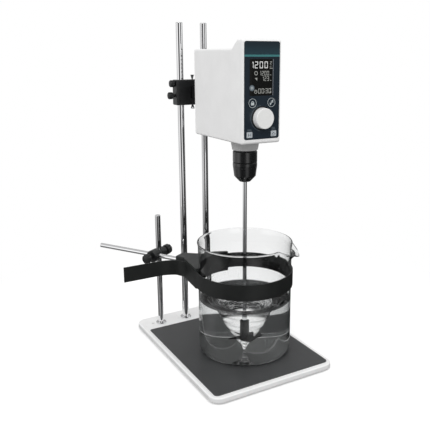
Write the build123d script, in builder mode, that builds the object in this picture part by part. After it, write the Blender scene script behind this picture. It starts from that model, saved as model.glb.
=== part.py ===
from build123d import *

import os
from math import acos, asin, atan2, cos, degrees, hypot, radians, sin, tan

# Overhead stirrer on a two-rod stand, with a glass beaker held by a strap clamp. Millimetres.
# The origin is the middle of the base plate's underside. +Z is up, -Y faces the operator and
# +X is the operator's right. The rubber feet reach a little below the origin.

os.makedirs("parts", exist_ok=True)

# Fits
running_fit = 0.06       # radial, a shaft in its bearing or a rod in its bore
seat_fit = 0.05          # radial, a pin, screw or insert in its own piece
key_gap = 0.3            # all round a key, and between bodies that pass each other
face_gap = 0.3           # between flat faces that turn past each other

# Base plate and mat
plate_width = 274.0
plate_length = 387.0
plate_thickness = 10.0
plate_corner = 22.0
plate_edge = 2.5
mat_width = 256.0
mat_length = 312.0
mat_thickness = 1.5
mat_front_margin = 10.5
mat_front_corner = 8.0
mat_rear_corner = 4.0
foot_radius = 11.0
foot_height = 3.0
foot_recess = 2.0
foot_inset = 20.0
spare_hole_radius = 3.4
spare_hole_offset = (-17.0, 6.0)    # from the short rod

# Rods
rod_setback = 40.5                  # rod row in front of the plate's rear edge
tall_rod_radius = 7.0
tall_rod_length = 665.0
tall_rod_pitch = 56.4
short_rod_radius = 6.0
short_rod_length = 257.0
short_rod_x = -90.5
rod_end_round = 1.5
flange_height = 4.0
flange_rim = 6.0
rod_screw_radius = 4.0
rod_screw_depth = 18.0
rod_screw_head = 7.5
flange_screw_radius = 1.5
flange_screw_head = 2.6

# Stirring axis
axis_x = 16.0
axis_y = -43.0

# Beaker
beaker_radius = 95.0
beaker_height = 232.6
beaker_wall = 2.4
beaker_floor = 4.0
beaker_heel = 12.0
beaker_flare = 1.6
beaker_flare_height = 6.0
lip_azimuth = -60.0
lip_height = 30.6                   # below the rim
lip_reach = 18.6                    # of the lip's tip past the wall
lip_dip = 12.0                      # of the lip's tip below the rim
lip_hollow = 12.0                   # depth of the lip's round inside the wall

# Carriage on the tall rods
arm_level = 531.0                   # middle of the carriage and of the head's arm
carriage_width = 84.0
carriage_depth = 24.0
carriage_height = 53.0
carriage_edge = 1.5
pin_radius = 2.5
pin_flare = 4.2
pin_flare_height = 7.0
pin_neck = 3.0
eye_radius = 9.0
arm_height = 24.0
swivel_angle = 12.0
thumb_screw_radius = 3.0
carriage_knob_radius = 7.5
carriage_knob_length = 11.0
upper_screw_rise = 18.5
lower_screw_drop = 6.5
upper_knob_stand = 0.8
lower_knob_stand = 5.0

# Head
head_width = 83.0
head_length = 193.7
head_nose = 59.5                    # stirring axis behind the head's front face
head_drop = 82.3                    # arm level above the head's underside
head_rear_height = 171.3
head_hood_height = 187.6
hood_top_length = 19.5
hood_slope_length = 21.0
head_edge = 3.6
head_foot_round = 5.0
wall = 3.0
front_wall = 4.0
cover_thickness = 4.0
housing_rail_depth = 4.0
cover_screw_inset = (7.5, 10.65)    # from the head's sides, and from its top and underside
cover_post_height = 9.0
cover_post_length = 20.0
cover_lip = 2.5
cover_screw_reach = 12.0            # past the cover
vent_count = 5
vent_length = 44.0
vent_height = 3.0
arm_flange_width = 52.0
arm_flange_height = 56.0
arm_flange_thickness = 6.0
arm_flange_pitch = (38.0, 42.0)
arm_root_width = 28.0
arm_screw_reach = 2.0               # past the cover
head_screw_radius = 2.0
head_screw_head = 3.5
head_screw_head_height = 2.4
jack_radius = 4.0
jack_rim = 1.6
jack_rim_thickness = 1.2
jack_depth = 9.0                    # past the cover
jack_socket_radius = 2.8
jack_socket_depth = 10.0
jack_pin_radius = 1.0
jack_x = -14.0
switch_x = 14.0
switch_width = 13.0
switch_height = 19.0
switch_wall = 1.5
switch_rim = 1.5
switch_rim_thickness = 1.4
switch_depth = 12.0                 # past the cover
rear_fitting_level = 24.0

# Front panel
panel_width = 76.0
panel_height = 175.0
panel_rise = 8.8                    # panel's lower edge above the head's underside
panel_corner = 4.5
panel_thickness = 1.2
window_width = 46.0
window_height = 65.0
window_seat = 1.5                   # of the housing, behind the window's edges
window_shift = 2.0
window_level = 120.3                # heights above the head's underside
round_key_level = 75.1
round_key_radius = 8.8
round_key_spread = 20.3
square_key_level = 17.8
square_key_width = 12.0
square_key_height = 10.5
square_key_spread = 26.2
key_stand = 0.6
key_flange = 1.2
key_flange_thickness = 1.5
key_travel = 0.8
knob_level = 47.3
knob_radius = 19.4
knob_face_radius = 18.7
knob_length = 12.8
knob_ring_radius = 21.7
knob_ring_height = 0.9
encoder_shaft_radius = 3.0
encoder_width = 14.0
encoder_depth = 8.0
encoder_shaft_depth = 6.0           # behind the board

# Neck, spindle and chuck
neck_drop = 18.2
neck_top_radius = 28.0
neck_end_radius = 25.0
neck_tube_radius = 21.0
neck_tube_rise = 45.0
neck_flange_radius = 31.0
neck_flange_height = 5.0
neck_screw_spacing = 36.8
bearing_radius = 17.5
bearing_bore = 7.5
bearing_width = 11.0
inner_race_radius = 10.5
outer_race_radius = 14.5
bearing_shield_depth = 0.6
bearing_cap_thickness = 3.0
spindle_bore = 4.3
spindle_shoulder = 9.5
spindle_thread_radius = 7.0
spindle_thread_length = 15.0
chuck_gap = 2.4
chuck_radius = 24.0
chuck_collar_height = 22.6
chuck_groove = 0.9
sleeve_end_radius = 21.3
sleeve_length = 26.9
flute_count = 24
flute_radius = 1.6
flute_offset = 0.9                  # of a flute's axis outside the sleeve
nose_radius = 11.0
nose_bore = 9.6
nose_length = 11.0
core_radius = 18.5
sleeve_ring_depth = 1.2
sleeve_ring_height = 1.5
sleeve_ring_drop = 2.5              # below the sleeve's upper face
jaw_radius = 3.2
jaw_length = 30.0
jaw_angle = 12.0
jaw_count = 3
jaw_travel = 8.0
shaft_radius = 4.0

# Propeller
shaft_tip_height = 25.5             # above the beaker's stand
shaft_top_margin = 8.0              # above the neck's lower end
hub_radius = 7.0
hub_length = 45.0
hub_rise = 1.5                      # above the shaft's tip
blade_rise = 8.0                    # above the hub's lower end
blade_count = 4
blade_radius = 28.0
blade_thickness = 1.6
blade_width = 17.0
blade_root_pitch = 52.0
blade_middle_pitch = 38.0
blade_tip_pitch = 28.0

# Drive
drive_plate_level = 82.0            # above the head's underside
drive_plate_thickness = 4.0
motor_radius = 29.0
motor_height = 56.0
motor_distance = 84.0               # behind the spindle
motor_shaft_radius = 4.0
motor_shaft_rise = 8.0              # of the shaft's lower end inside the motor
spindle_pulley_radius = 26.0
motor_pulley_radius = 10.0
pulley_height = 9.0
belt_width = 6.0
belt_thickness = 1.4

# Strap clamp
post_spacing = 13.5                 # clamp rod's axis beside the short rod's axis
strap_level = 170.5
strap_width = 32.0
strap_thickness = 3.0
strap_gap = 0.3
strap_slack = 1.5
strap_wing_angle = 26.0
strap_leaving_angle = 51.7
strap_run = 72.5
strap_bend_radius = 30.0
strap_bend_angle = 64.0
strap_curl_radius = 68.0
strap_curl_angle = 32.0
strap_tail = 74.0
block_height = 43.0
block_reach = 157.0
block_half_width = 19.0
wing_angle = 40.0
wing_root = 5.0                     # of the right wing's foot, outside the beaker
right_wing_end = (4.6, 1.5)         # past the inner tip
block_cheek = 2.0
block_bevel = ((0.0, -11.0), (14.0, -5.0), (33.0, 1.0))    # ahead of its rear, past its half width
clamp_rod_radius = 5.0
clamp_rod_rise = 8.0
clamp_rod_length = 244.0
clamp_rod_depth = 25.0
boss_radius = 13.5
boss_neck_radius = 11.0
boss_front = 15.5
boss_rear = 33.0
boss_edge = 2.0
boss_step = 6.0                     # where its neck begins, behind its middle
boss_step_length = 4.0
boss_knob_radius = 10.5
boss_knob_length = 12.0
post_knob_radius = 11.5
post_knob_length = 15.0
boss_knob_gap = 9.5
post_knob_gap = 5.0

# Worked out from the sizes above
stand_level = plate_thickness + mat_thickness
rod_row = plate_length / 2 - rod_setback
tall_rod_xs = (-tall_rod_pitch / 2, tall_rod_pitch / 2)
rods = [(x, tall_rod_radius, tall_rod_length) for x in tall_rod_xs]
rods.append((short_rod_x, short_rod_radius, short_rod_length))
carriage_bottom = arm_level - carriage_height / 2
carriage_top = arm_level + carriage_height / 2
carriage_front = rod_row - carriage_depth / 2
head_bottom = arm_level - head_drop
head_front = axis_y - head_nose
head_rear = head_front + head_length
cover_front = head_rear - cover_thickness
neck_bottom = head_bottom - neck_drop
chuck_top = neck_bottom - chuck_gap
sleeve_top = chuck_top - chuck_collar_height
sleeve_shoulder = sleeve_top - sleeve_length
nose_bottom = sleeve_shoulder - nose_length
core_bottom = sleeve_shoulder + 2.0
shaft_tip = stand_level + shaft_tip_height
shaft_top = neck_bottom + shaft_top_margin
plate_level = head_bottom + drive_plate_level
plate_top = plate_level + drive_plate_thickness
spindle_end = plate_top + pulley_height + 2
motor_y = axis_y + motor_distance
cover_pitch = (head_width - 2 * cover_screw_inset[0], head_rear_height - 2 * cover_screw_inset[1])
cover_screw_level = head_rear_height / 2
vent_space = head_rear_height - head_drop - arm_flange_height / 2
plate_front = axis_y - neck_flange_radius
plate_rear = cover_front - cover_lip - 1.5
neck_screw_level = head_bottom + wall + neck_flange_height
neck_screw_offset = neck_screw_spacing / 2


def upright(x, y, z=0.0):
    """A plane for the half profile of a turned piece whose upright axis is at x, y."""
    return Plane(origin=(x, y, z), x_dir=(1, 0, 0), z_dir=(0, -1, 0))


def upright_axis(x, y):
    return Axis((x, y, 0), (0, 0, 1))


def finish(piece, name):
    piece.part.label = name
    export_step(piece.part, f"parts/{name}.step")


# Base plate, with a sunk recess for each foot, a screw hole under each rod and one spare hole
with BuildPart() as base_plate:
    with BuildSketch():
        RectangleRounded(plate_width, plate_length, plate_corner)
    extrude(amount=plate_thickness)
    fillet(base_plate.faces().sort_by(Axis.Z)[-1].edges(), plate_edge)
    chamfer(base_plate.faces().sort_by(Axis.Z)[0].edges(), 0.8)
    foot_pitch_x = plate_width - 2 * foot_inset
    foot_pitch_y = plate_length - 2 * foot_inset
    with BuildSketch(Plane.XY):
        with GridLocations(foot_pitch_x, foot_pitch_y, 2, 2):
            Circle(foot_radius + seat_fit)
    extrude(amount=foot_recess, mode=Mode.SUBTRACT)
    with Locations(Plane(origin=(0, 0, 0), x_dir=(1, 0, 0), z_dir=(0, 0, -1))):
        with Locations([(x, -rod_row) for x, radius, length in rods]):
            CounterSinkHole(rod_screw_radius + seat_fit, rod_screw_head + 0.3)
    with Locations((short_rod_x + spare_hole_offset[0], rod_row + spare_hole_offset[1], 0)):
        Hole(spare_hole_radius)
finish(base_plate, "base_plate")

with BuildPart() as rubber_feet:
    with BuildSketch(Plane.XY.offset(-foot_height)):
        with GridLocations(foot_pitch_x, foot_pitch_y, 2, 2):
            Circle(foot_radius)
    extrude(amount=foot_height + foot_recess)
    fillet(rubber_feet.faces().group_by(Axis.Z)[0].edges(), 1.0)
finish(rubber_feet, "rubber_feet")

mat_centre = -plate_length / 2 + mat_front_margin + mat_length / 2
with BuildPart() as stand_mat:
    with BuildSketch(Plane.XY.offset(plate_thickness)):
        with Locations((0, mat_centre)):
            Rectangle(mat_width, mat_length)
    extrude(amount=mat_thickness)
    upright_edges = stand_mat.edges().filter_by(Axis.Z).sort_by(Axis.Y)
    fillet(upright_edges[:2], mat_front_corner)
    upright_edges = stand_mat.edges().filter_by(Axis.Z).sort_by(Axis.Y)
    fillet(upright_edges[-2:], mat_rear_corner)
finish(stand_mat, "stand_mat")

# Rods stand on the plate, each with a blind screw hole in its foot
rod_names = ("tall_rod_left", "tall_rod_right", "short_rod")
for rod_name, (x, radius, length) in zip(rod_names, rods):
    with BuildPart() as rod:
        with BuildSketch(Plane.XY.offset(plate_thickness)):
            with Locations((x, rod_row)):
                Circle(radius)
        extrude(amount=length)
        fillet(rod.faces().sort_by(Axis.Z)[-1].edges(), rod_end_round)
        with BuildSketch(Plane.XY.offset(plate_thickness)):
            with Locations((x, rod_row)):
                Circle(rod_screw_radius + seat_fit)
        extrude(amount=rod_screw_depth, mode=Mode.SUBTRACT)
    finish(rod, rod_name)

with BuildPart() as rod_screws:
    for x, radius, length in rods:
        with BuildSketch(upright(x, rod_row)):
            with BuildLine():
                Polyline((0, 2.0), (2.5, 2.0), (2.5, 0.2), (rod_screw_head, 0.2),
                         (rod_screw_radius, 0.2 + rod_screw_head - rod_screw_radius),
                         (rod_screw_radius, plate_thickness + rod_screw_depth - 2),
                         (0, plate_thickness + rod_screw_depth - 2), close=True)
            make_face()
        revolve(axis=upright_axis(x, rod_row))
finish(rod_screws, "rod_screws")

# Round flanges at the rods' feet, each held by two small countersunk screws
with BuildPart() as rod_flanges:
    for x, radius, length in rods:
        with BuildSketch(upright(x, rod_row, plate_thickness)):
            with BuildLine():
                Polyline((radius + seat_fit, 0), (radius + flange_rim, 0),
                         (radius + flange_rim, flange_height - 1.5),
                         (radius + flange_rim - 1.5, flange_height),
                         (radius + seat_fit, flange_height), close=True)
            make_face()
        revolve(axis=upright_axis(x, rod_row))
        screw_spread = 2 * radius + flange_rim - 0.6
        with Locations((x, rod_row, plate_thickness + flange_height)):
            with GridLocations(screw_spread, 1, 2, 1):
                CounterSinkHole(flange_screw_radius + seat_fit, flange_screw_head, flange_height)
finish(rod_flanges, "rod_flanges")

with BuildPart() as flange_screws:
    for x, radius, length in rods:
        screw_spread = 2 * radius + flange_rim - 0.6
        for side in (-1, 1):
            screw_x = x + side * screw_spread / 2
            screw_top = plate_thickness + flange_height
            with BuildSketch(upright(screw_x, rod_row, screw_top)):
                with BuildLine():
                    Polyline((0, -0.9), (1.1, -0.9), (1.1, -0.1), (flange_screw_head - 0.15, -0.1),
                             (flange_screw_radius, -1.05), (flange_screw_radius, -flange_height),
                             (0, -flange_height), close=True)
                make_face()
            revolve(axis=upright_axis(screw_x, rod_row))
finish(flange_screws, "flange_screws")

# Beaker with a turned-out rim and a pouring lip
with BuildPart() as beaker:
    inner_radius = beaker_radius - beaker_wall
    flare_level = beaker_height - beaker_flare_height
    with BuildSketch(upright(axis_x, axis_y, stand_level)) as glass_profile:
        with BuildLine():
            Polyline((0, 0), (beaker_radius, 0), (beaker_radius, flare_level),
                     (beaker_radius + beaker_flare, beaker_height),
                     (beaker_radius + beaker_flare - beaker_wall, beaker_height),
                     (inner_radius, flare_level), (inner_radius, beaker_floor),
                     (0, beaker_floor), close=True)
        make_face()
        heel_outer = glass_profile.vertices().sort_by_distance((axis_x + beaker_radius, axis_y, stand_level))[0]
        fillet(heel_outer, beaker_heel)
        inner_heel_point = (axis_x + inner_radius, axis_y, stand_level + beaker_floor)
        heel_inner = glass_profile.vertices().sort_by_distance(inner_heel_point)[0]
        fillet(heel_inner, beaker_heel - beaker_wall)
    revolve(axis=upright_axis(axis_x, axis_y))
    # The lip is part of a cone that leans out of the wall, cut down towards its tip
    lip_plane = Plane(origin=(axis_x, axis_y, stand_level + beaker_height),
                      x_dir=(cos(radians(lip_azimuth)), sin(radians(lip_azimuth)), 0), z_dir=(0, 0, 1))
    lip_slope = lip_reach / (lip_height - lip_dip)
    lip_radius = (lip_height + lip_hollow) * lip_slope
    lip_axis = beaker_radius - lip_hollow * lip_slope
    cone_height = lip_height + lip_hollow
    cone_wall = beaker_wall * hypot(1, lip_slope)
    with Locations(lip_plane.offset(-cone_height / 2)):
        with Locations((lip_axis, 0)):
            Cone(0, lip_radius, cone_height)
    with Locations(lip_plane.offset(-(cone_height - cone_wall / lip_slope) / 2)):
        with Locations((lip_axis, 0)):
            Cone(0, lip_radius - cone_wall, cone_height - cone_wall / lip_slope, mode=Mode.SUBTRACT)
    with Locations(lip_plane.offset(-cone_height / 2 - beaker_flare_height)):
        Cylinder(inner_radius, cone_height, mode=Mode.SUBTRACT)
    with Locations(lip_plane.offset(-beaker_flare_height / 2)):
        Cone(inner_radius, inner_radius + beaker_flare, beaker_flare_height, mode=Mode.SUBTRACT)
    dip_start = beaker_radius * cos(asin(lip_radius / 2 / beaker_radius)) - lip_hollow / 2
    tip_radius = lip_axis + lip_radius
    side_on = Plane(origin=lip_plane.from_local_coords((0, lip_radius, 0)), x_dir=lip_plane.x_dir,
                    z_dir=lip_plane.y_dir * -1)
    with BuildSketch(side_on):
        with BuildLine():
            dip_end = (beaker_radius + lip_reach + 1, -lip_dip)
            Spline((dip_start, 0), dip_end, tangents=((1, 0), (1, -lip_slope)))
            Polyline(dip_end, (tip_radius + 1, -lip_dip), (tip_radius + 1, 1), (dip_start, 1), (dip_start, 0))
        make_face()
    extrude(amount=2 * lip_radius, mode=Mode.SUBTRACT)
finish(beaker, "beaker")

# Carriage block with two rod bores, a pocket for the head's eye and the thumb screws' holes
with BuildPart() as carriage_block:
    with BuildSketch(Plane.XY.offset(carriage_bottom)):
        with Locations((0, rod_row)):
            RectangleRounded(carriage_width, carriage_depth, 3.0)
    extrude(amount=carriage_height)
    chamfer(carriage_block.faces().sort_by(Axis.Z)[-1].edges(), carriage_edge)
    chamfer(carriage_block.faces().sort_by(Axis.Z)[0].edges(), carriage_edge)
    with BuildSketch(Plane.XY.offset(carriage_bottom)):
        with Locations([(x, rod_row) for x in tall_rod_xs]):
            Circle(tall_rod_radius + running_fit)
    extrude(amount=carriage_height, mode=Mode.SUBTRACT)
    # The pocket clears the arm at both ends of its swing
    web_corner = (axis_x + arm_root_width / 2, rod_row - head_rear - arm_flange_thickness)
    web_lean = acos(eye_radius / hypot(*web_corner)) - atan2(web_corner[1], web_corner[0])
    pocket_lean = web_lean + radians(swivel_angle + 1)
    pocket_radius = eye_radius + key_gap
    pocket_side = pocket_radius / cos(pocket_lean) + carriage_depth / 2 * tan(pocket_lean)
    with BuildSketch(Plane.XY.offset(arm_level - arm_height / 2 - face_gap)):
        with Locations((0, rod_row)):
            Circle(pocket_radius)
        with BuildLine():
            Polyline((-pocket_radius, rod_row), (-pocket_radius - 0.4, carriage_front),
                     (pocket_side, carriage_front),
                     (pocket_radius * cos(pocket_lean), rod_row + pocket_radius * sin(pocket_lean)), close=True)
        make_face()
    extrude(amount=arm_height + 2 * face_gap, mode=Mode.SUBTRACT)
    with Locations((0, rod_row, arm_level)):
        Cylinder(pin_radius + seat_fit, carriage_height, mode=Mode.SUBTRACT)
    screw_levels = (arm_level + upper_screw_rise, arm_level - lower_screw_drop)
    with BuildSketch(Plane(origin=(-carriage_width / 2, rod_row, 0), x_dir=(0, 1, 0), z_dir=(1, 0, 0))):
        with Locations([(0, level) for level in screw_levels]):
            Circle(thumb_screw_radius + running_fit)
    extrude(amount=carriage_width / 2 - tall_rod_pitch / 2, mode=Mode.SUBTRACT)
finish(carriage_block, "carriage_block")

# Pivot pin: a plain shank with a cupped flare above the block and a cone below it
with BuildPart() as pivot_pin:
    flare_top = carriage_top + pin_neck + pin_flare_height
    flare_bottom = carriage_bottom - pin_neck - pin_flare_height + 1
    with BuildSketch(upright(0, rod_row)):
        with BuildLine():
            Polyline((0, flare_bottom), (pin_flare, flare_bottom), (pin_flare, flare_bottom + 1.5),
                     (pin_radius - 0.5, carriage_bottom - 1), (pin_radius - 0.5, carriage_bottom),
                     (pin_radius, carriage_bottom), (pin_radius, carriage_top),
                     (pin_radius - 0.5, carriage_top), (pin_radius - 0.5, carriage_top + pin_neck),
                     (pin_flare, flare_top), (pin_flare - 1.2, flare_top),
                     (0.6, flare_top - pin_flare_height / 2), (0, flare_top - pin_flare_height / 2), close=True)
        make_face()
    revolve(axis=upright_axis(0, rod_row))
finish(pivot_pin, "pivot_pin")


def scalloped_knob(plane, axis, start, length, radius, shank_start, shank_radius):
    """A moulded thumb screw on an axis: domed grip with finger scallops and its screw shank."""
    with BuildPart() as screw:
        with BuildSketch(plane):
            with BuildLine():
                Polyline((shank_start, 0), (shank_start, shank_radius - 0.6), (shank_start + 0.6, shank_radius),
                         (start, shank_radius), (start, radius - 1.5), (start + 1.5, radius),
                         (start + length - 3.5, radius))
                Spline((start + length - 3.5, radius), (start + length - 1, radius * 0.72),
                       (start + length, 0), tangents=((1, 0), (0, -1)))
                Line((start + length, 0), (shank_start, 0))
            make_face()
        revolve(axis=axis)
        scallop_plane = Plane(origin=plane.from_local_coords((start - 0.2, 0, 0)), x_dir=plane.y_dir,
                              z_dir=plane.x_dir)
        with BuildSketch(scallop_plane):
            with PolarLocations(radius * 1.18, 8):
                Circle(radius * 0.3)
        extrude(amount=length + 1, mode=Mode.SUBTRACT)
    return screw


# Thumb screws on the carriage's left side press on the left rod
rod_side_x = -tall_rod_pitch / 2 - tall_rod_radius - key_gap
screw_rows = (("upper_thumb_screw", screw_levels[0], upper_knob_stand),
              ("lower_thumb_screw", screw_levels[1], lower_knob_stand))
for screw_name, level, stand in screw_rows:
    side_plane = Plane(origin=(0, rod_row, level), x_dir=(-1, 0, 0), z_dir=(0, 1, 0))
    side_axis = Axis((0, rod_row, level), (-1, 0, 0))
    thumb_screw = scalloped_knob(side_plane, side_axis, carriage_width / 2 + stand, carriage_knob_length,
                                 carriage_knob_radius, -rod_side_x, thumb_screw_radius)
    finish(thumb_screw, screw_name)

# Head's outer form, cut into the housing and its rear cover
cover_plane = Plane(origin=(0, cover_front, 0), x_dir=(1, 0, 0), z_dir=(0, -1, 0))
side_view = Plane(origin=(axis_x, 0, 0), x_dir=(0, 1, 0), z_dir=(1, 0, 0))
hood_top = head_bottom + head_hood_height
rear_top = head_bottom + head_rear_height
hood_back = head_front + hood_top_length
slope_foot = hood_back + hood_slope_length
with BuildPart() as head_form:
    with BuildSketch(side_view.offset(-head_width / 2)):
        with BuildLine():
            FilletPolyline((head_front, head_bottom), (head_rear, head_bottom), (head_rear, rear_top),
                           (slope_foot, rear_top), (hood_back, hood_top), (head_front, hood_top),
                           radius=head_foot_round, close=True)
        make_face()
    extrude(amount=head_width)
    side_faces = head_form.faces().filter_by(Axis.X)
    fillet(side_faces.edges(), head_edge)


def front_shape(plane_y):
    """A sketch plane that looks in at the panel from the front, X to the right and Z up."""
    return Plane(origin=(axis_x, plane_y, head_bottom), x_dir=(1, 0, 0), z_dir=(0, -1, 0))


key_rows = (("lock_key", -round_key_spread, round_key_level),
            ("run_key", round_key_spread, round_key_level),
            ("left_key", -square_key_spread, square_key_level),
            ("right_key", square_key_spread, square_key_level))


def key_outline(name, grow, mode=Mode.ADD):
    """Face of one key, grown all round by grow."""
    if name in ("lock_key", "run_key"):
        Circle(round_key_radius + grow, mode=mode)
    else:
        RectangleRounded(square_key_width + 2 * grow, square_key_height + 2 * grow, 1.2, mode=mode)


with BuildPart() as head_housing:
    add(head_form.part)
    split(bisect_by=cover_plane, keep=Keep.TOP)
    with BuildSketch(side_view.offset(wall - head_width / 2)):
        with BuildLine():
            FilletPolyline((head_front + front_wall, head_bottom + wall), (head_rear, head_bottom + wall),
                           (head_rear, rear_top - wall), (slope_foot - wall / 2, rear_top - wall),
                           (hood_back - wall / 2, hood_top - wall), (head_front + front_wall, hood_top - wall),
                           radius=2.0, close=True)
        make_face()
    extrude(amount=head_width - 2 * wall, mode=Mode.SUBTRACT)
    # Recess for the overlay, and the openings behind it
    with BuildSketch(front_shape(head_front)):
        with Locations((0, panel_rise + panel_height / 2)):
            RectangleRounded(panel_width + 2 * seat_fit, panel_height + 2 * seat_fit, panel_corner)
    extrude(amount=-panel_thickness, mode=Mode.SUBTRACT)
    with BuildSketch(front_shape(head_front)):
        with Locations((window_shift, window_level)):
            Rectangle(window_width - 2 * window_seat, window_height - 2 * window_seat)
        with Locations((0, knob_level)):
            Circle(encoder_shaft_radius + 3)
        for key_name, key_x, key_z in key_rows:
            with Locations((key_x, key_z)):
                key_outline(key_name, key_gap)
    extrude(amount=-front_wall, mode=Mode.SUBTRACT)
    # Opening for the neck, and ledges that carry the drive plate
    with Locations((axis_x, axis_y, head_bottom)):
        Cylinder(neck_tube_radius + seat_fit, 4 * wall, mode=Mode.SUBTRACT)
    with BuildSketch(Plane.XY.offset(plate_level - housing_rail_depth)):
        with Locations((axis_x, (plate_front + plate_rear) / 2)):
            Rectangle(head_width - 2 * wall, plate_rear - plate_front)
            Rectangle(head_width - 2 * (wall + housing_rail_depth), plate_rear - plate_front,
                      mode=Mode.SUBTRACT)
    extrude(amount=housing_rail_depth)
    with Locations((axis_x, axis_y, head_bottom + wall)):
        with GridLocations(neck_screw_spacing, neck_screw_spacing, 2, 2):
            Hole(head_screw_radius + seat_fit, 2 * wall)
    # Moulded posts on the side walls take the rear cover's screws
    with BuildSketch(front_shape(cover_front)):
        with Locations((0, cover_screw_level)):
            with GridLocations(*cover_pitch, 2, 2):
                Rectangle(head_width - 2 * wall - cover_pitch[0], cover_post_height)
                Circle(head_screw_radius + seat_fit, mode=Mode.SUBTRACT)
    extrude(amount=cover_post_length)
finish(head_housing, "head_housing")

# Rear cover with a lip inside the housing, vent slots, and the openings for the jack and the switch
with BuildPart() as rear_cover:
    add(head_form.part)
    split(bisect_by=cover_plane, keep=Keep.BOTTOM)
    with BuildSketch(front_shape(cover_front)):
        with Locations((0, (wall + head_rear_height - wall) / 2)):
            Rectangle(head_width - 2 * wall - 2 * seat_fit, head_rear_height - 2 * wall - 2 * seat_fit)
            Rectangle(head_width - 4 * wall, head_rear_height - 4 * wall, mode=Mode.SUBTRACT)
        with Locations((0, cover_screw_level)):
            with GridLocations(*cover_pitch, 2, 2):
                Rectangle(head_width - 2 * wall - cover_pitch[0] + 2 * seat_fit,
                          cover_post_height + 2 * seat_fit, mode=Mode.SUBTRACT)
    extrude(amount=cover_lip)
    with BuildSketch(front_shape(head_rear)):
        with Locations((jack_x, rear_fitting_level)):
            Circle(jack_radius + seat_fit)
        with Locations((switch_x, rear_fitting_level)):
            Rectangle(switch_width + 2 * seat_fit, switch_height + 2 * seat_fit)
        with Locations((0, arm_level - head_bottom)):
            with GridLocations(*arm_flange_pitch, 2, 2):
                Circle(head_screw_radius + seat_fit)
        with Locations((0, cover_screw_level)):
            with GridLocations(*cover_pitch, 2, 2):
                Circle(head_screw_radius + seat_fit)
        with Locations((0, head_rear_height - vent_space / 2)):
            with GridLocations(1, vent_space / (vent_count + 2), 1, vent_count):
                SlotOverall(vent_length, vent_height)
    extrude(amount=cover_thickness, mode=Mode.SUBTRACT)
finish(rear_cover, "rear_cover")

# Head arm: a flange on the rear cover and a tapering web that ends in the pivot eye
with BuildPart() as head_arm:
    with BuildSketch(Plane.XY.offset(arm_level - arm_height / 2)):
        with Locations((0, rod_row)):
            Circle(eye_radius)
        with Locations((axis_x, head_rear + arm_flange_thickness / 2)):
            Rectangle(arm_root_width, arm_flange_thickness)
        make_hull()
    extrude(amount=arm_height)
    with BuildSketch(front_shape(head_rear)):
        with Locations((0, arm_level - head_bottom)):
            RectangleRounded(arm_flange_width, arm_flange_height, 5)
    extrude(amount=-arm_flange_thickness)
    with BuildSketch(front_shape(head_rear)):
        with Locations((0, arm_level - head_bottom)):
            with GridLocations(*arm_flange_pitch, 2, 2):
                Circle(head_screw_radius + seat_fit)
    extrude(amount=-arm_flange_thickness, mode=Mode.SUBTRACT)
    with Locations((0, rod_row, arm_level)):
        Cylinder(pin_radius + running_fit, arm_height, mode=Mode.SUBTRACT)
finish(head_arm, "head_arm")


def button_screw(x, y, z, direction, reach):
    """One round-headed screw: its head's underside at x, y, z and its shank along direction."""
    across = Vector(direction).cross(Vector(1, 0, 0))
    with BuildPart() as screw:
        with BuildSketch(Plane(origin=(x, y, z), x_dir=direction, z_dir=across)):
            with BuildLine():
                Polyline((-head_screw_head_height, 0), (-head_screw_head_height, 1.2),
                         (-head_screw_head_height + 0.5, head_screw_head - 0.8), (-1.0, head_screw_head),
                         (0, head_screw_head), (0, head_screw_radius), (reach, head_screw_radius),
                         (reach, 0), close=True)
            make_face()
        revolve(axis=Axis((x, y, z), direction))
    return screw.part


# Screws of the arm's flange, the rear cover and the neck
with BuildPart() as head_screws:
    for dx in (-1, 1):
        for dz in (-1, 1):
            add(button_screw(axis_x + dx * arm_flange_pitch[0] / 2, head_rear + arm_flange_thickness,
                             arm_level + dz * arm_flange_pitch[1] / 2, (0, -1, 0),
                             arm_flange_thickness + cover_thickness + arm_screw_reach))
            add(button_screw(axis_x + dx * cover_pitch[0] / 2, head_rear,
                             head_bottom + cover_screw_level + dz * cover_pitch[1] / 2, (0, -1, 0),
                             cover_thickness + cover_screw_reach))
            add(button_screw(axis_x + dx * neck_screw_offset, axis_y + dz * neck_screw_offset,
                             neck_screw_level, (0, 0, -1), neck_flange_height + wall - 0.5))
finish(head_screws, "head_screws")

# Power jack and rocker switch
with BuildPart() as power_jack:
    with BuildSketch(front_shape(head_rear)):
        with Locations((jack_x, rear_fitting_level)):
            Circle(jack_radius + jack_rim)
    extrude(amount=-jack_rim_thickness)
    with BuildSketch(front_shape(head_rear)):
        with Locations((jack_x, rear_fitting_level)):
            Circle(jack_radius)
    extrude(amount=cover_thickness + jack_depth)
    with BuildSketch(front_shape(head_rear + jack_rim_thickness)):
        with Locations((jack_x, rear_fitting_level)):
            Circle(jack_socket_radius)
            Circle(jack_pin_radius, mode=Mode.SUBTRACT)
    extrude(amount=jack_socket_depth, mode=Mode.SUBTRACT)
finish(power_jack, "power_jack")

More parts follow.
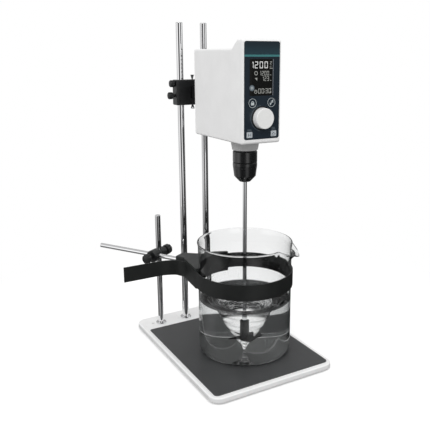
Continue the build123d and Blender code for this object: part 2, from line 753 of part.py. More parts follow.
rocker_depth = 8.0
rocker_pivot = 1.5
rocker_sink = 1.0
rocker_pivot_wall = 0.4             # of the frame, past each end of the pivot
rocker_axis = Plane(origin=(axis_x + switch_x, head_rear - rocker_sink, head_bottom + rear_fitting_level),
                    x_dir=(0, 1, 0), z_dir=(1, 0, 0))
with BuildPart() as switch_frame:
    with BuildSketch(front_shape(head_rear)):
        with Locations((switch_x, rear_fitting_level)):
            RectangleRounded(switch_width + 2 * switch_rim, switch_height + 2 * switch_rim, switch_rim)
    extrude(amount=-switch_rim_thickness)
    with BuildSketch(front_shape(head_rear)):
        with Locations((switch_x, rear_fitting_level)):
            Rectangle(switch_width, switch_height)
    extrude(amount=cover_thickness + switch_depth)
    with BuildSketch(front_shape(head_rear + switch_rim_thickness)):
        with Locations((switch_x, rear_fitting_level)):
            Rectangle(switch_width - 2 * switch_wall, switch_height - 2 * switch_wall)
    extrude(amount=rocker_depth + switch_rim_thickness + 2, mode=Mode.SUBTRACT)
    with BuildSketch(rocker_axis.offset(-switch_width / 2 + rocker_pivot_wall)):
        Circle(rocker_pivot + running_fit)
    extrude(amount=switch_width - 2 * rocker_pivot_wall, mode=Mode.SUBTRACT)
finish(switch_frame, "switch_frame")

with BuildPart() as switch_rocker:
    rocker_half = switch_height / 2 - 2.6
    with BuildSketch(rocker_axis.offset(-switch_width / 2 + switch_wall + key_gap)):
        with BuildLine():
            Polyline((-3.5, -3.0), (-3.5, 3.0), (0.0, rocker_half), (3.6, rocker_half - 0.4), (1.6, 0),
                     (3.6, -rocker_half + 0.4), (0.0, -rocker_half), close=True)
        make_face()
    extrude(amount=switch_width - 2 * (switch_wall + key_gap))
    with BuildSketch(rocker_axis.offset(-switch_width / 2 + rocker_pivot_wall + key_gap)):
        Circle(rocker_pivot)
    extrude(amount=switch_width - 2 * (rocker_pivot_wall + key_gap))
finish(switch_rocker, "switch_rocker")

# Front overlay with the window, key and shaft openings
with BuildPart() as panel_overlay:
    with BuildSketch(front_shape(head_front + panel_thickness)):
        with Locations((0, panel_rise + panel_height / 2)):
            RectangleRounded(panel_width, panel_height, panel_corner)
        with Locations((window_shift, window_level)):
            Rectangle(window_width, window_height, mode=Mode.SUBTRACT)
        with Locations((0, knob_level)):
            Circle(encoder_shaft_radius + 1, mode=Mode.SUBTRACT)
        for key_name, key_x, key_z in key_rows:
            with Locations((key_x, key_z)):
                key_outline(key_name, key_gap, Mode.SUBTRACT)
    extrude(amount=panel_thickness)
finish(panel_overlay, "panel_overlay")

with BuildPart() as display_window:
    with BuildSketch(front_shape(head_front + panel_thickness)):
        with Locations((window_shift, window_level)):
            Rectangle(window_width - 2 * seat_fit, window_height - 2 * seat_fit)
    extrude(amount=panel_thickness)
finish(display_window, "display_window")

board_space = 7.0                   # between the front wall and the control board
board_thickness = 1.6
board_margin = (2.0, 11.0)          # inside the panel's outline
board_drop = 5.0
board_switch_width = 6.0
module_margin = (4.0, 1.5)          # outside the window's outline
board_y = head_front + front_wall + board_space
with BuildPart() as display_module:
    with BuildSketch(front_shape(board_y)):
        with Locations((window_shift, window_level)):
            Rectangle(window_width + 2 * module_margin[0], window_height + 2 * module_margin[1])
    extrude(amount=board_space)
    with BuildSketch(front_shape(head_front + front_wall)):
        with Locations((window_shift, window_level)):
            Rectangle(window_width - 2 * window_seat - 0.4, window_height - 2 * window_seat - 0.4)
    extrude(amount=front_wall - panel_thickness)
finish(display_module, "display_module")

# Control board, carried on the display module and the encoder, with a switch under each key
with BuildPart() as control_board:
    with BuildSketch(front_shape(board_y + board_thickness)):
        with Locations((0, panel_rise + panel_height / 2 - board_drop)):
            Rectangle(panel_width - 2 * board_margin[0], panel_height - 2 * board_margin[1])
        with Locations((0, knob_level)):
            Circle(encoder_shaft_radius + 2 + seat_fit, mode=Mode.SUBTRACT)
    extrude(amount=board_thickness)
    for key_name, key_x, key_z in key_rows:
        with BuildSketch(front_shape(board_y)):
            with Locations((key_x, key_z)):
                Rectangle(board_switch_width, board_switch_width)
        extrude(amount=board_space - key_flange_thickness - key_travel - key_gap)
finish(control_board, "control_board")

for key_name, key_x, key_z in key_rows:
    with BuildPart() as key:
        with BuildSketch(front_shape(head_front + front_wall)):
            with Locations((key_x, key_z)):
                key_outline(key_name, 0)
        extrude(amount=front_wall + key_stand)
        fillet(key.faces().sort_by(Axis.Y)[0].edges(), 0.4)
        with BuildSketch(front_shape(head_front + front_wall)):
            with Locations((key_x, key_z)):
                key_outline(key_name, key_flange)
        extrude(amount=-key_flange_thickness)
    finish(key, key_name)

# Rotary encoder behind the board, its shaft, the knob and the knob's ring
with BuildPart() as encoder:
    with BuildSketch(front_shape(board_y + board_thickness)):
        with Locations((0, knob_level)):
            Rectangle(encoder_width, encoder_width)
            Circle(encoder_shaft_radius + running_fit, mode=Mode.SUBTRACT)
    extrude(amount=-encoder_depth)
    with BuildSketch(front_shape(board_y + board_thickness)):
        with Locations((0, knob_level)):
            Circle(encoder_shaft_radius + 2)
            Circle(encoder_shaft_radius + running_fit, mode=Mode.SUBTRACT)
    extrude(amount=board_y + board_thickness - head_front - panel_thickness)
finish(encoder, "encoder")

knob_base = head_front - knob_ring_height - face_gap
knob_tip = head_front - knob_length
with BuildPart() as encoder_shaft:
    with BuildSketch(front_shape(board_y + board_thickness + encoder_shaft_depth)):
        with Locations((0, knob_level)):
            Circle(encoder_shaft_radius)
    extrude(amount=board_y + board_thickness + encoder_shaft_depth - knob_tip - 4)
finish(encoder_shaft, "encoder_shaft")

with BuildPart() as knob_ring:
    with BuildSketch(front_shape(head_front)):
        with Locations((0, knob_level)):
            Circle(knob_ring_radius)
            Circle(knob_radius - 3, mode=Mode.SUBTRACT)
    extrude(amount=knob_ring_height)
    fillet(knob_ring.faces().sort_by(Axis.Y)[0].edges().sort_by(SortBy.RADIUS)[-1], 0.5)
finish(knob_ring, "knob_ring")

with BuildPart() as control_knob:
    knob_centre = (axis_x, 0, head_bottom + knob_level)
    knob_plane = Plane(origin=knob_centre, x_dir=(0, -1, 0), z_dir=(-1, 0, 0))
    with BuildSketch(knob_plane):
        with BuildLine():
            Polyline((-knob_tip - 3, encoder_shaft_radius + seat_fit),
                     (-knob_base, encoder_shaft_radius + seat_fit), (-knob_base, encoder_shaft_radius + 3),
                     (-knob_tip - 3, encoder_shaft_radius + 3), (-knob_tip - 3, knob_face_radius - 2),
                     (-knob_base, knob_radius - 2), (-knob_base, knob_radius), (-knob_tip, knob_face_radius),
                     (-knob_tip, 0), (-knob_tip - 3, 0), close=True)
        make_face()
    revolve(axis=Axis(knob_centre, (0, -1, 0)))
    fillet(control_knob.faces().sort_by(Axis.Y)[0].edges(), 1.2)
finish(control_knob, "control_knob")

# Neck: grey tapered collar under the head, bearing tube and flange inside it
upper_bearing_level = head_bottom + neck_tube_rise - bearing_width - 2
lower_bearing_level = neck_bottom + bearing_cap_thickness
with BuildPart() as neck_collar:
    with BuildSketch(upright(axis_x, axis_y)):
        with BuildLine():
            Polyline((bearing_radius + seat_fit, neck_bottom), (neck_end_radius, neck_bottom),
                     (neck_top_radius, head_bottom - 2), (neck_top_radius, head_bottom),
                     (neck_tube_radius, head_bottom), (neck_tube_radius, head_bottom + neck_tube_rise),
                     (bearing_radius + seat_fit, head_bottom + neck_tube_rise),
                     (bearing_radius + seat_fit, upper_bearing_level),
                     (bearing_radius - 2.5, upper_bearing_level),
                     (bearing_radius - 2.5, lower_bearing_level + bearing_width),
                     (bearing_radius + seat_fit, lower_bearing_level + bearing_width), close=True)
        make_face()
    revolve(axis=upright_axis(axis_x, axis_y))
finish(neck_collar, "neck_collar")

with BuildPart() as bearing_cap:
    with BuildSketch(Plane.XY.offset(neck_bottom)):
        with Locations((axis_x, axis_y)):
            Circle(bearing_radius)
            Circle(spindle_shoulder + 1, mode=Mode.SUBTRACT)
    extrude(amount=bearing_cap_thickness)
finish(bearing_cap, "bearing_cap")

with BuildPart() as neck_flange:
    with BuildSketch(Plane.XY.offset(head_bottom + wall)):
        with Locations((axis_x, axis_y)):
            Circle(neck_flange_radius)
            Circle(neck_tube_radius + seat_fit, mode=Mode.SUBTRACT)
            with GridLocations(neck_screw_spacing, neck_screw_spacing, 2, 2):
                Circle(head_screw_radius + seat_fit, mode=Mode.SUBTRACT)
    extrude(amount=neck_flange_height)
finish(neck_flange, "neck_flange")

for bearing_name, level in (("lower_bearing", lower_bearing_level), ("upper_bearing", upper_bearing_level)):
    with BuildPart() as bearing:
        with BuildSketch(upright(axis_x, axis_y, level)):
            with BuildLine():
                Polyline((bearing_bore, 0), (inner_race_radius, 0), (inner_race_radius, bearing_shield_depth),
                         (outer_race_radius, bearing_shield_depth), (outer_race_radius, 0), (bearing_radius, 0),
                         (bearing_radius, bearing_width), (outer_race_radius, bearing_width),
                         (outer_race_radius, bearing_width - bearing_shield_depth),
                         (inner_race_radius, bearing_width - bearing_shield_depth),
                         (inner_race_radius, bearing_width), (bearing_bore, bearing_width), close=True)
            make_face()
        revolve(axis=upright_axis(axis_x, axis_y))
    finish(bearing, bearing_name)

# Hollow spindle: thread for the chuck, two bearing seats round a shoulder, pulley seat on top
with BuildPart() as spindle:
    journal = bearing_bore - running_fit
    shoulder_low = lower_bearing_level + bearing_width + face_gap
    shoulder_high = upper_bearing_level - face_gap
    with BuildSketch(upright(axis_x, axis_y)):
        with BuildLine():
            Polyline((spindle_bore, chuck_top - spindle_thread_length),
                     (spindle_thread_radius, chuck_top - spindle_thread_length),
                     (spindle_thread_radius, chuck_top), (journal, chuck_top), (journal, shoulder_low),
                     (spindle_shoulder, shoulder_low), (spindle_shoulder, shoulder_high),
                     (journal, shoulder_high), (journal, spindle_end), (spindle_bore, spindle_end), close=True)
        make_face()
    revolve(axis=upright_axis(axis_x, axis_y))
finish(spindle, "spindle")


def grooved_pulley(x, y, radius, bore, level):
    """A flat belt's pulley with a rim above and below the belt."""
    rim = (pulley_height - belt_width) / 2
    with BuildPart() as pulley:
        with BuildSketch(upright(x, y, level)):
            with BuildLine():
                Polyline((bore, 0), (radius + 2, 0), (radius + 2, rim - 0.3), (radius, rim - 0.3),
                         (radius, pulley_height - rim + 0.3), (radius + 2, pulley_height - rim + 0.3),
                         (radius + 2, pulley_height), (bore, pulley_height), close=True)
            make_face()
        revolve(axis=upright_axis(x, y))
    return pulley


pulley_level = plate_top + 1.0
spindle_pulley = grooved_pulley(axis_x, axis_y, spindle_pulley_radius, journal + seat_fit, pulley_level)
finish(spindle_pulley, "spindle_pulley")
motor_bore = motor_shaft_radius + seat_fit
motor_pulley = grooved_pulley(axis_x, motor_y, motor_pulley_radius, motor_bore, pulley_level)
finish(motor_pulley, "motor_pulley")

with BuildPart() as drive_belt:
    belt_level = pulley_level + (pulley_height - belt_width) / 2
    with BuildSketch(Plane.XY.offset(belt_level)):
        with Locations((axis_x, axis_y)):
            Circle(spindle_pulley_radius + running_fit + belt_thickness)
        with Locations((axis_x, motor_y)):
            Circle(motor_pulley_radius + running_fit + belt_thickness)
        make_hull()
    extrude(amount=belt_width)
    with BuildSketch(Plane.XY.offset(belt_level)):
        with Locations((axis_x, axis_y)):
            Circle(spindle_pulley_radius + running_fit)
        with Locations((axis_x, motor_y)):
            Circle(motor_pulley_radius + running_fit)
        make_hull()
    extrude(amount=belt_width, mode=Mode.SUBTRACT)
finish(drive_belt, "drive_belt")

# Drive plate on the housing's ledges, with the motor hung under it
with BuildPart() as drive_plate:
    with BuildSketch(Plane.XY.offset(plate_level)):
        with Locations((axis_x, (plate_front + plate_rear) / 2)):
            Rectangle(head_width - 2 * wall - 2 * key_gap, plate_rear - plate_front)
        with Locations((axis_x, axis_y)):
            Circle(journal + 1, mode=Mode.SUBTRACT)
        with Locations((axis_x, motor_y)):
            Circle(motor_shaft_radius + 2, mode=Mode.SUBTRACT)
    extrude(amount=drive_plate_thickness)
finish(drive_plate, "drive_plate")

with BuildPart() as motor:
    with BuildSketch(Plane.XY.offset(plate_level - motor_height)):
        with Locations((axis_x, motor_y)):
            Circle(motor_radius)
    extrude(amount=motor_height)
    fillet(motor.faces().sort_by(Axis.Z)[0].edges(), 3)
    with Locations((axis_x, motor_y, plate_level)):
        Cylinder(motor_shaft_radius + running_fit, 2 * (motor_height - motor_shaft_rise / 2), mode=Mode.SUBTRACT)
finish(motor, "motor")

with BuildPart() as motor_shaft:
    with BuildSketch(Plane.XY.offset(plate_level - motor_height + motor_shaft_rise)):
        with Locations((axis_x, motor_y)):
            Circle(motor_shaft_radius)
    extrude(amount=spindle_end - plate_level + motor_height - motor_shaft_rise)
finish(motor_shaft, "motor_shaft")

# Chuck core: threaded on the spindle, collar above the sleeve, one sloping bore for each jaw
jaw_lean = tan(radians(jaw_angle))
jaw_tip_level = nose_bottom + 0.6
jaw_axis_radius = shaft_radius + 1.9           # of a jaw's axis at the jaw's tip
jaw_bore_length = jaw_length + jaw_travel + 2.0


def jaw_plane(index):
    """Plane across one jaw's axis at its tip: X points away from the chuck's axis."""
    turn = radians(360 / jaw_count * index)
    tip = (axis_x + jaw_axis_radius * cos(turn), axis_y + jaw_axis_radius * sin(turn), jaw_tip_level)
    lean = radians(jaw_angle)
    along = (sin(lean) * cos(turn), sin(lean) * sin(turn), cos(lean))
    outward = (cos(lean) * cos(turn), cos(lean) * sin(turn), -sin(lean))
    return Plane(origin=tip, x_dir=outward, z_dir=along)


ring_high = sleeve_top - sleeve_ring_drop
ring_low = ring_high - sleeve_ring_height
with BuildPart() as chuck_core:
    with BuildSketch(upright(axis_x, axis_y)):
        with BuildLine():
            Polyline((spindle_bore, core_bottom), (core_radius - 2, core_bottom), (core_radius, core_bottom + 2),
                     (core_radius, ring_low - seat_fit), (core_radius - sleeve_ring_depth, ring_low - seat_fit),
                     (core_radius - sleeve_ring_depth, ring_high + seat_fit),
                     (core_radius, ring_high + seat_fit), (core_radius, sleeve_top + chuck_groove),
                     (chuck_radius - 0.6, sleeve_top + chuck_groove),
                     (chuck_radius, sleeve_top + chuck_groove + 0.6), (chuck_radius, chuck_top - 1.2),
                     (chuck_radius - 1.2, chuck_top), (spindle_thread_radius + seat_fit, chuck_top),
                     (spindle_thread_radius + seat_fit, chuck_top - spindle_thread_length - 0.3),
                     (spindle_bore, chuck_top - spindle_thread_length - 0.3), close=True)
        make_face()
    revolve(axis=upright_axis(axis_x, axis_y))
    for index in range(jaw_count):
        with BuildSketch(jaw_plane(index)):
            Circle(jaw_radius + running_fit)
        extrude(amount=jaw_bore_length, mode=Mode.SUBTRACT)
finish(chuck_core, "chuck_core")

with BuildPart() as chuck_sleeve:
    with BuildSketch(upright(axis_x, axis_y)):
        with BuildLine():
            Polyline((core_radius + key_gap, sleeve_top), (core_radius + key_gap, ring_high + face_gap),
                     (core_radius + sleeve_ring_depth + key_gap, ring_high + face_gap),
                     (core_radius + sleeve_ring_depth + key_gap, ring_low - face_gap),
                     (core_radius + key_gap, ring_low - face_gap),
                     (core_radius + key_gap, core_bottom - face_gap),
                     (nose_bore + (core_bottom - nose_bottom) * jaw_lean, core_bottom - face_gap),
                     (nose_bore, nose_bottom), (nose_radius, nose_bottom), (sleeve_end_radius, sleeve_shoulder),
                     (chuck_radius, sleeve_top - 6), (chuck_radius, sleeve_top - 0.8),
                     (chuck_radius - 0.8, sleeve_top), close=True)
        make_face()
    revolve(axis=upright_axis(axis_x, axis_y))
    with BuildSketch(Plane.XY.offset(sleeve_shoulder - 1)):
        with Locations((axis_x, axis_y)):
            with PolarLocations(chuck_radius + flute_offset, flute_count):
                Circle(flute_radius)
    extrude(amount=sleeve_length - 8, mode=Mode.SUBTRACT)
finish(chuck_sleeve, "chuck_sleeve")

# Ring that keeps the sleeve on the core
with BuildPart() as sleeve_ring:
    with BuildSketch(Plane.XY.offset(ring_low)):
        with Locations((axis_x, axis_y)):
            Circle(core_radius + sleeve_ring_depth)
            Circle(core_radius - sleeve_ring_depth + seat_fit, mode=Mode.SUBTRACT)
    extrude(amount=sleeve_ring_height)
finish(sleeve_ring, "sleeve_ring")

for index in range(jaw_count):
    turn = radians(360 / jaw_count * index)
    with BuildPart() as jaw:
        with BuildSketch(jaw_plane(index)):
            Circle(jaw_radius)
        extrude(amount=jaw_length)
        grip_plane = Plane(origin=(axis_x + (shaft_radius + seat_fit) * cos(turn),
                                   axis_y + (shaft_radius + seat_fit) * sin(turn), 0),
                           z_dir=(cos(turn), sin(turn), 0))
        split(bisect_by=grip_plane, keep=Keep.TOP)
    finish(jaw, f"chuck_jaw_{index + 1}")

# Stirring shaft and propeller
with BuildPart() as stirring_shaft:
    with BuildSketch(Plane.XY.offset(shaft_tip)):
        with Locations((axis_x, axis_y)):
            Circle(shaft_radius)
    extrude(amount=shaft_top - shaft_tip)
    chamfer(stirring_shaft.edges().group_by(Axis.Z)[-1], 0.5)
finish(stirring_shaft, "stirring_shaft")

hub_bottom = shaft_tip + hub_rise
blade_level = hub_bottom + blade_rise
with BuildPart() as propeller:
    with BuildSketch(upright(axis_x, axis_y, hub_bottom)):
        with BuildLine():
            Polyline((shaft_radius + seat_fit, 0), (hub_radius - 1, 0), (hub_radius, 1),
                     (hub_radius, hub_length - 1), (hub_radius - 1, hub_length),
                     (shaft_radius + seat_fit, hub_length), close=True)
        make_face()
    revolve(axis=upright_axis(axis_x, axis_y))
    blade_stations = ((hub_radius - 1.5, blade_root_pitch, 0.8), (0.62 * blade_radius, blade_middle_pitch, 1.0),
                      (blade_radius, blade_tip_pitch, 0.6))
    for index in range(blade_count):
        turn = radians(360 / blade_count * index)
        for radius, pitch, share in blade_stations:
            centre = (axis_x + radius * cos(turn), axis_y + radius * sin(turn), blade_level)
            station = Plane(origin=centre, x_dir=(-sin(turn), cos(turn), 0), z_dir=(cos(turn), sin(turn), 0))
            with BuildSketch(station):
                with Locations(Rotation(0, 0, pitch)):
                    SlotOverall(blade_width * share, blade_thickness)
        loft()
finish(propeller, "propeller")

# Strap clamp. In its own plane X points from the stirring axis out along the clamp rod.
post_offset = (short_rod_x - axis_x, rod_row - axis_y)
post_distance = hypot(*post_offset)
clamp_azimuth = atan2(post_offset[1], post_offset[0]) + asin(post_spacing / post_distance)
post_reach = post_distance * cos(asin(post_spacing / post_distance))
clamp_out = (cos(clamp_azimuth), sin(clamp_azimuth), 0)
clamp_side = (-sin(clamp_azimuth), cos(clamp_azimuth), 0)
clamp_rod_level = strap_level + clamp_rod_rise


def clamp_plane(z):
    return Plane(origin=(axis_x, axis_y, z), x_dir=clamp_out, z_dir=(0, 0, 1))


strap_radius = beaker_radius + strap_gap + strap_thickness / 2 + strap_slack
leaving = radians(strap_leaving_angle)
with BuildLine() as strap_route:
    loop = CenterArc((strap_slack, 0), strap_radius, -strap_wing_angle,
                     strap_wing_angle + strap_leaving_angle - 360)
    run = Line(loop @ 1, loop @ 1 + (loop % 1) * strap_run)
    bend = JernArc(run @ 1, run % 1, strap_bend_radius, strap_bend_angle)
    curl = JernArc(bend @ 1, bend % 1, strap_curl_radius, strap_curl_angle)
    Line(curl @ 1, curl @ 1 + (curl % 1) * strap_tail)
strap_path = clamp_plane(strap_level).location * strap_route.wires()[0]
strap_start = Plane(origin=strap_path @ 0, x_dir=(0, 0, 1), z_dir=strap_path % 0)

with BuildPart() as strap:
    with BuildSketch(strap_start):
        Rectangle(strap_width, strap_thickness)
    sweep(path=strap_path)
finish(strap, "strap")

with BuildPart() as jaw_block:
    tip_angle = radians(wing_angle)
    inner_tip = beaker_radius + strap_gap
    line_reach = strap_radius + strap_slack * cos(leaving)
    left_tip = line_reach / cos(leaving - tip_angle)
    cheek_x = (line_reach - (block_half_width + block_cheek) * sin(leaving)) / cos(leaving)
    bevel = [(block_reach - ahead, -block_half_width - past) for ahead, past in block_bevel]
    with BuildSketch(clamp_plane(strap_level - block_height / 2)):
        with BuildLine():
            Polyline((block_reach, block_half_width - block_cheek), *bevel,
                     (beaker_radius + wing_root, -beaker_radius / 2),
                     (inner_tip * cos(tip_angle) + right_wing_end[0], -inner_tip * sin(tip_angle) - right_wing_end[1]),
                     (inner_tip * cos(tip_angle), -inner_tip * sin(tip_angle)), (0.8 * beaker_radius, 0),
                     (inner_tip * cos(tip_angle), inner_tip * sin(tip_angle)),
                     (left_tip * cos(tip_angle), left_tip * sin(tip_angle)),
                     (cheek_x, block_half_width + block_cheek), (cheek_x, block_half_width),
                     (block_reach, block_half_width - block_cheek), close=True)
        make_face()
        Circle(inner_tip, mode=Mode.SUBTRACT)
    extrude(amount=block_height)
    chamfer(jaw_block.faces().sort_by(Axis.Z)[-1].edges().filter_by(GeomType.LINE).sort_by(Axis.Y)[-4:], 1.2)
    with BuildSketch(strap_start):
        Rectangle(strap_width + 2 * seat_fit, strap_thickness + 2 * seat_fit)
    sweep(path=strap_path, mode=Mode.SUBTRACT)
    rod_socket = Plane(origin=clamp_plane(clamp_rod_level).from_local_coords((block_reach, 0, 0)),
                       x_dir=(0, 0, 1), z_dir=clamp_out)
    with BuildSketch(rod_socket):
        Circle(clamp_rod_radius + seat_fit)
    extrude(amount=-clamp_rod_depth, mode=Mode.SUBTRACT)
finish(jaw_block, "jaw_block")

with BuildPart() as clamp_rod:
    with BuildSketch(rod_socket.offset(-clamp_rod_depth)):
        Circle(clamp_rod_radius)
    extrude(amount=clamp_rod_length)
    chamfer(clamp_rod.edges(), 0.6)
finish(clamp_rod, "clamp_rod")

# Boss head: a barrel across both rods, bored for each
boss_centre = clamp_plane(clamp_rod_level).from_local_coords((post_reach, 0, 0))
barrel_plane = Plane(origin=boss_centre, x_dir=clamp_side, z_dir=Vector(clamp_side).cross(Vector(0, 0, 1)))
barrel_axis = Axis(boss_centre, clamp_side)
with BuildPart() as boss_head:
    with BuildSketch(barrel_plane):
        with BuildLine():
            Polyline((boss_front, 0), (boss_front, boss_radius - boss_edge),
                     (boss_front - boss_edge, boss_radius), (-boss_step, boss_radius),
                     (-boss_step - boss_step_length, boss_neck_radius), (-boss_rear + boss_edge, boss_neck_radius),
                     (-boss_rear, boss_neck_radius - boss_edge), (-boss_rear, 0), close=True)
        make_face()
    revolve(axis=barrel_axis)
    with BuildSketch(rod_socket.offset(post_reach - block_reach - 2 * boss_radius)):
        Circle(clamp_rod_radius + running_fit)
    extrude(amount=4 * boss_radius, mode=Mode.SUBTRACT)
    with BuildSketch(Plane.XY.offset(clamp_rod_level - 2 * boss_radius)):
        with Locations((short_rod_x, rod_row)):
            Circle(short_rod_radius + running_fit)
    extrude(amount=4 * boss_radius, mode=Mode.SUBTRACT)
    with BuildSketch(Plane(origin=boss_centre, x_dir=(0, 0, 1), z_dir=clamp_side)):
        Circle(thumb_screw_radius + running_fit)
    extrude(amount=boss_front, mode=Mode.SUBTRACT)
    with BuildSketch(Plane(origin=boss_centre, x_dir=(0, 0, 1), z_dir=clamp_side).offset(-boss_rear)):
        Circle(thumb_screw_radius + running_fit)
    extrude(amount=boss_rear - post_spacing, mode=Mode.SUBTRACT)
finish(boss_head, "boss_head")

rod_screw = scalloped_knob(barrel_plane, barrel_axis, boss_front + boss_knob_gap, boss_knob_length,
                           boss_knob_radius, clamp_rod_radius + key_gap, thumb_screw_radius)
finish(rod_screw, "rod_thumb_screw")
post_plane = Plane(origin=boss_centre, x_dir=Vector(clamp_side) * -1, z_dir=barrel_plane.z_dir * -1)
post_screw = scalloped_knob(post_plane, Axis(boss_centre, Vector(clamp_side) * -1), boss_rear + post_knob_gap,
                            post_knob_length, post_knob_radius, post_spacing + short_rod_radius + key_gap,
                            thumb_screw_radius)
finish(post_screw, "post_thumb_screw")

print("clamp azimuth", round(degrees(clamp_azimuth), 2), "post reach", round(post_reach, 2))
print("boss centre", [round(c, 3) for c in boss_centre], "clamp side", [round(c, 5) for c in clamp_side])
print("jaw tip radius", jaw_axis_radius, "jaw tip level", jaw_tip_level)
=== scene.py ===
from math import cos, hypot, pi, radians, sin

import bpy
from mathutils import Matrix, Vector


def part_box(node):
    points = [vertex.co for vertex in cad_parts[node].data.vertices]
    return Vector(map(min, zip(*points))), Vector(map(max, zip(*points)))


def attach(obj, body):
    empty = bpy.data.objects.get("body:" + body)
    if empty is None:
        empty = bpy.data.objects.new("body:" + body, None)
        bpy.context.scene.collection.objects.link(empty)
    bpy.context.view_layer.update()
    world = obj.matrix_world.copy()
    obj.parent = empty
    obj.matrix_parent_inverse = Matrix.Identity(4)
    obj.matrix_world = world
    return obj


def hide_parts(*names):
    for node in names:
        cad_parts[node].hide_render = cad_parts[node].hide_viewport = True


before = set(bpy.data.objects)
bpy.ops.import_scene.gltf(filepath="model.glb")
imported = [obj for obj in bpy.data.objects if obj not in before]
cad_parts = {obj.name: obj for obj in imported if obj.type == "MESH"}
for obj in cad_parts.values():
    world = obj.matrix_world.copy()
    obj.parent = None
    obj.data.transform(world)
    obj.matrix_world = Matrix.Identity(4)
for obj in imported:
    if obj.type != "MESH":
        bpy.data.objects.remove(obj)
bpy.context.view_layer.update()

# Overhead stirrer on its rod stand. Metres, in the model's own frame: +Z up, -Y towards the operator.
MM = 0.001
photo_side = 430
photo_focal, photo_centre_x, photo_centre_y = 594.94, 237.83, 204.476
photo_heading, photo_dip = 0.527803, 0.245212


def set_camera():
    """The photograph's standpoint: its lens and picture centre are given in pixels of its own frame."""
    camera = bpy.data.objects.new("camera", bpy.data.cameras.new("camera"))
    bpy.context.scene.collection.objects.link(camera)
    camera.location = (-0.5751, -1.0292, 0.6074)
    camera.rotation_euler = (pi / 2 - photo_dip, 0, -photo_heading)
    camera.data.sensor_width = 36.0
    camera.data.lens = photo_focal / photo_side * camera.data.sensor_width
    camera.data.shift_x = (photo_side / 2 - photo_centre_x) / photo_side
    camera.data.shift_y = (photo_centre_y - photo_side / 2) / photo_side
    camera.data.clip_start, camera.data.clip_end = 0.05, 60
    bpy.context.scene.camera = camera


set_camera()


class Amount:
    """A value that varies over a surface. Arithmetic on it adds Math nodes to its own sheet."""

    def __init__(self, sheet, socket):
        self.sheet, self.socket = sheet, socket

    def __add__(self, other):
        return self.sheet.math("ADD", self, other)

    def __sub__(self, other):
        return self.sheet.math("SUBTRACT", self, other)

    def __rsub__(self, other):
        return self.sheet.math("SUBTRACT", other, self)

    def __mul__(self, other):
        return self.sheet.math("MULTIPLY", self, other)

    def __truediv__(self, other):
        return self.sheet.math("DIVIDE", self, other)

    def __pow__(self, other):
        return self.sheet.math("POWER", self, other)

    def __gt__(self, other):
        return self.sheet.math("GREATER_THAN", self, other)

    def __lt__(self, other):
        return self.sheet.math("LESS_THAN", self, other)

    __radd__ = __add__
    __rmul__ = __mul__


class Sheet:
    """The node tree of one finish or of the surroundings."""

    def __init__(self, tree):
        self.tree = tree

    def node(self, kind, settings, values, output=0):
        made = self.tree.nodes.new("ShaderNode" + kind)
        for name, value in settings.items():
            if name == "stops":
                ramp = made.color_ramp.elements
                while len(ramp) < len(value):
                    ramp.new(1.0)
                for stop, (place, level) in zip(ramp, value):
                    stop.position, stop.color = place, (level, level, level, 1)
            else:
                setattr(made, name, value)
        for name, value in values.items():
            if isinstance(value, Amount):
                self.tree.links.new(value.socket, made.inputs[name])
            else:
                made.inputs[name].default_value = value
        return Amount(self, made.outputs[output])

    def math(self, operation, *values):
        return self.node("Math", {"operation": operation}, dict(enumerate(values)))

    def place(self, *stretch):
        """Object coordinates in metres, stretched along each axis when a grain runs one way."""
        here = self.node("TexCoord", {}, {}, "Object")
        if stretch:
            here = self.node("VectorMath", {"operation": "MULTIPLY"}, {0: here, 1: stretch})
        return here

    def along(self, axis):
        return self.node("SeparateXYZ", {}, {"Vector": self.place()}, axis)

    def grain(self, scale, detail=3.0, stretch=()):
        values = {"Vector": self.place(*stretch), "Scale": scale, "Detail": detail, "Roughness": 0.6}
        return self.node("TexNoise", {}, values)

    def blend(self, share, first, second):
        return self.node("Mix", {"data_type": "RGBA"}, {"Factor": share, 6: first, 7: second}, 2)

    def mottle(self, noise, first, second):
        """Wanders between two colours with a noise."""
        return self.blend(self.spread(noise, 0.0, 1.0), first, second)

    def ease(self, value, start, end, low=0.0, high=1.0):
        """Goes smoothly from low to high as value goes from start to end."""
        values = {"Value": value, "From Min": start, "From Max": end, "To Min": low, "To Max": high}
        return self.node("MapRange", {"interpolation_type": "SMOOTHSTEP"}, values)

    def spread(self, amount, low, high):
        """Maps 0.3 to 0.7, where a noise has most of its values, to low to high."""
        values = {"Value": amount, "From Min": 0.3, "From Max": 0.7, "To Min": low, "To Max": high}
        return self.node("MapRange", {}, values)

    def bump(self, amount, depth, strength=1.0):
        return self.node("Bump", {}, {"Height": amount, "Distance": depth, "Strength": strength})

    def depth(self, kind):
        """1 where the ray has met a face of this kind on its way, else 0."""
        return self.node("LightPath", {}, {}, f"{kind} Depth") > 0.5


def shade(red, green, blue):
    """A colour read off a screen, 0 to 255, as linear light."""
    linear = [((v / 255 + 0.055) / 1.055) ** 2.4 if v > 10 else v / 3295 for v in (red, green, blue)]
    return (*linear, 1)


def darker(colour, share):
    return tuple(part * share for part in colour[:3]) + (1,)


def finish(name, fixed):
    """A new material with fixed values on its surface shader, and with it its sheet and that shader."""
    material = bpy.data.materials.new(name)
    material.use_nodes = True
    shader = material.node_tree.nodes["Principled BSDF"]
    for socket, value in fixed.items():
        shader.inputs[socket].default_value = value
    return material, Sheet(material.node_tree), shader


def feed(sheet, shader, **sockets):
    names = {"colour": "Base Color", "rough": "Roughness", "normal": "Normal", "glow": "Emission Color",
             "solid": "Alpha"}
    for word, amount in sockets.items():
        sheet.tree.links.new(amount.socket, shader.inputs[names[word]])


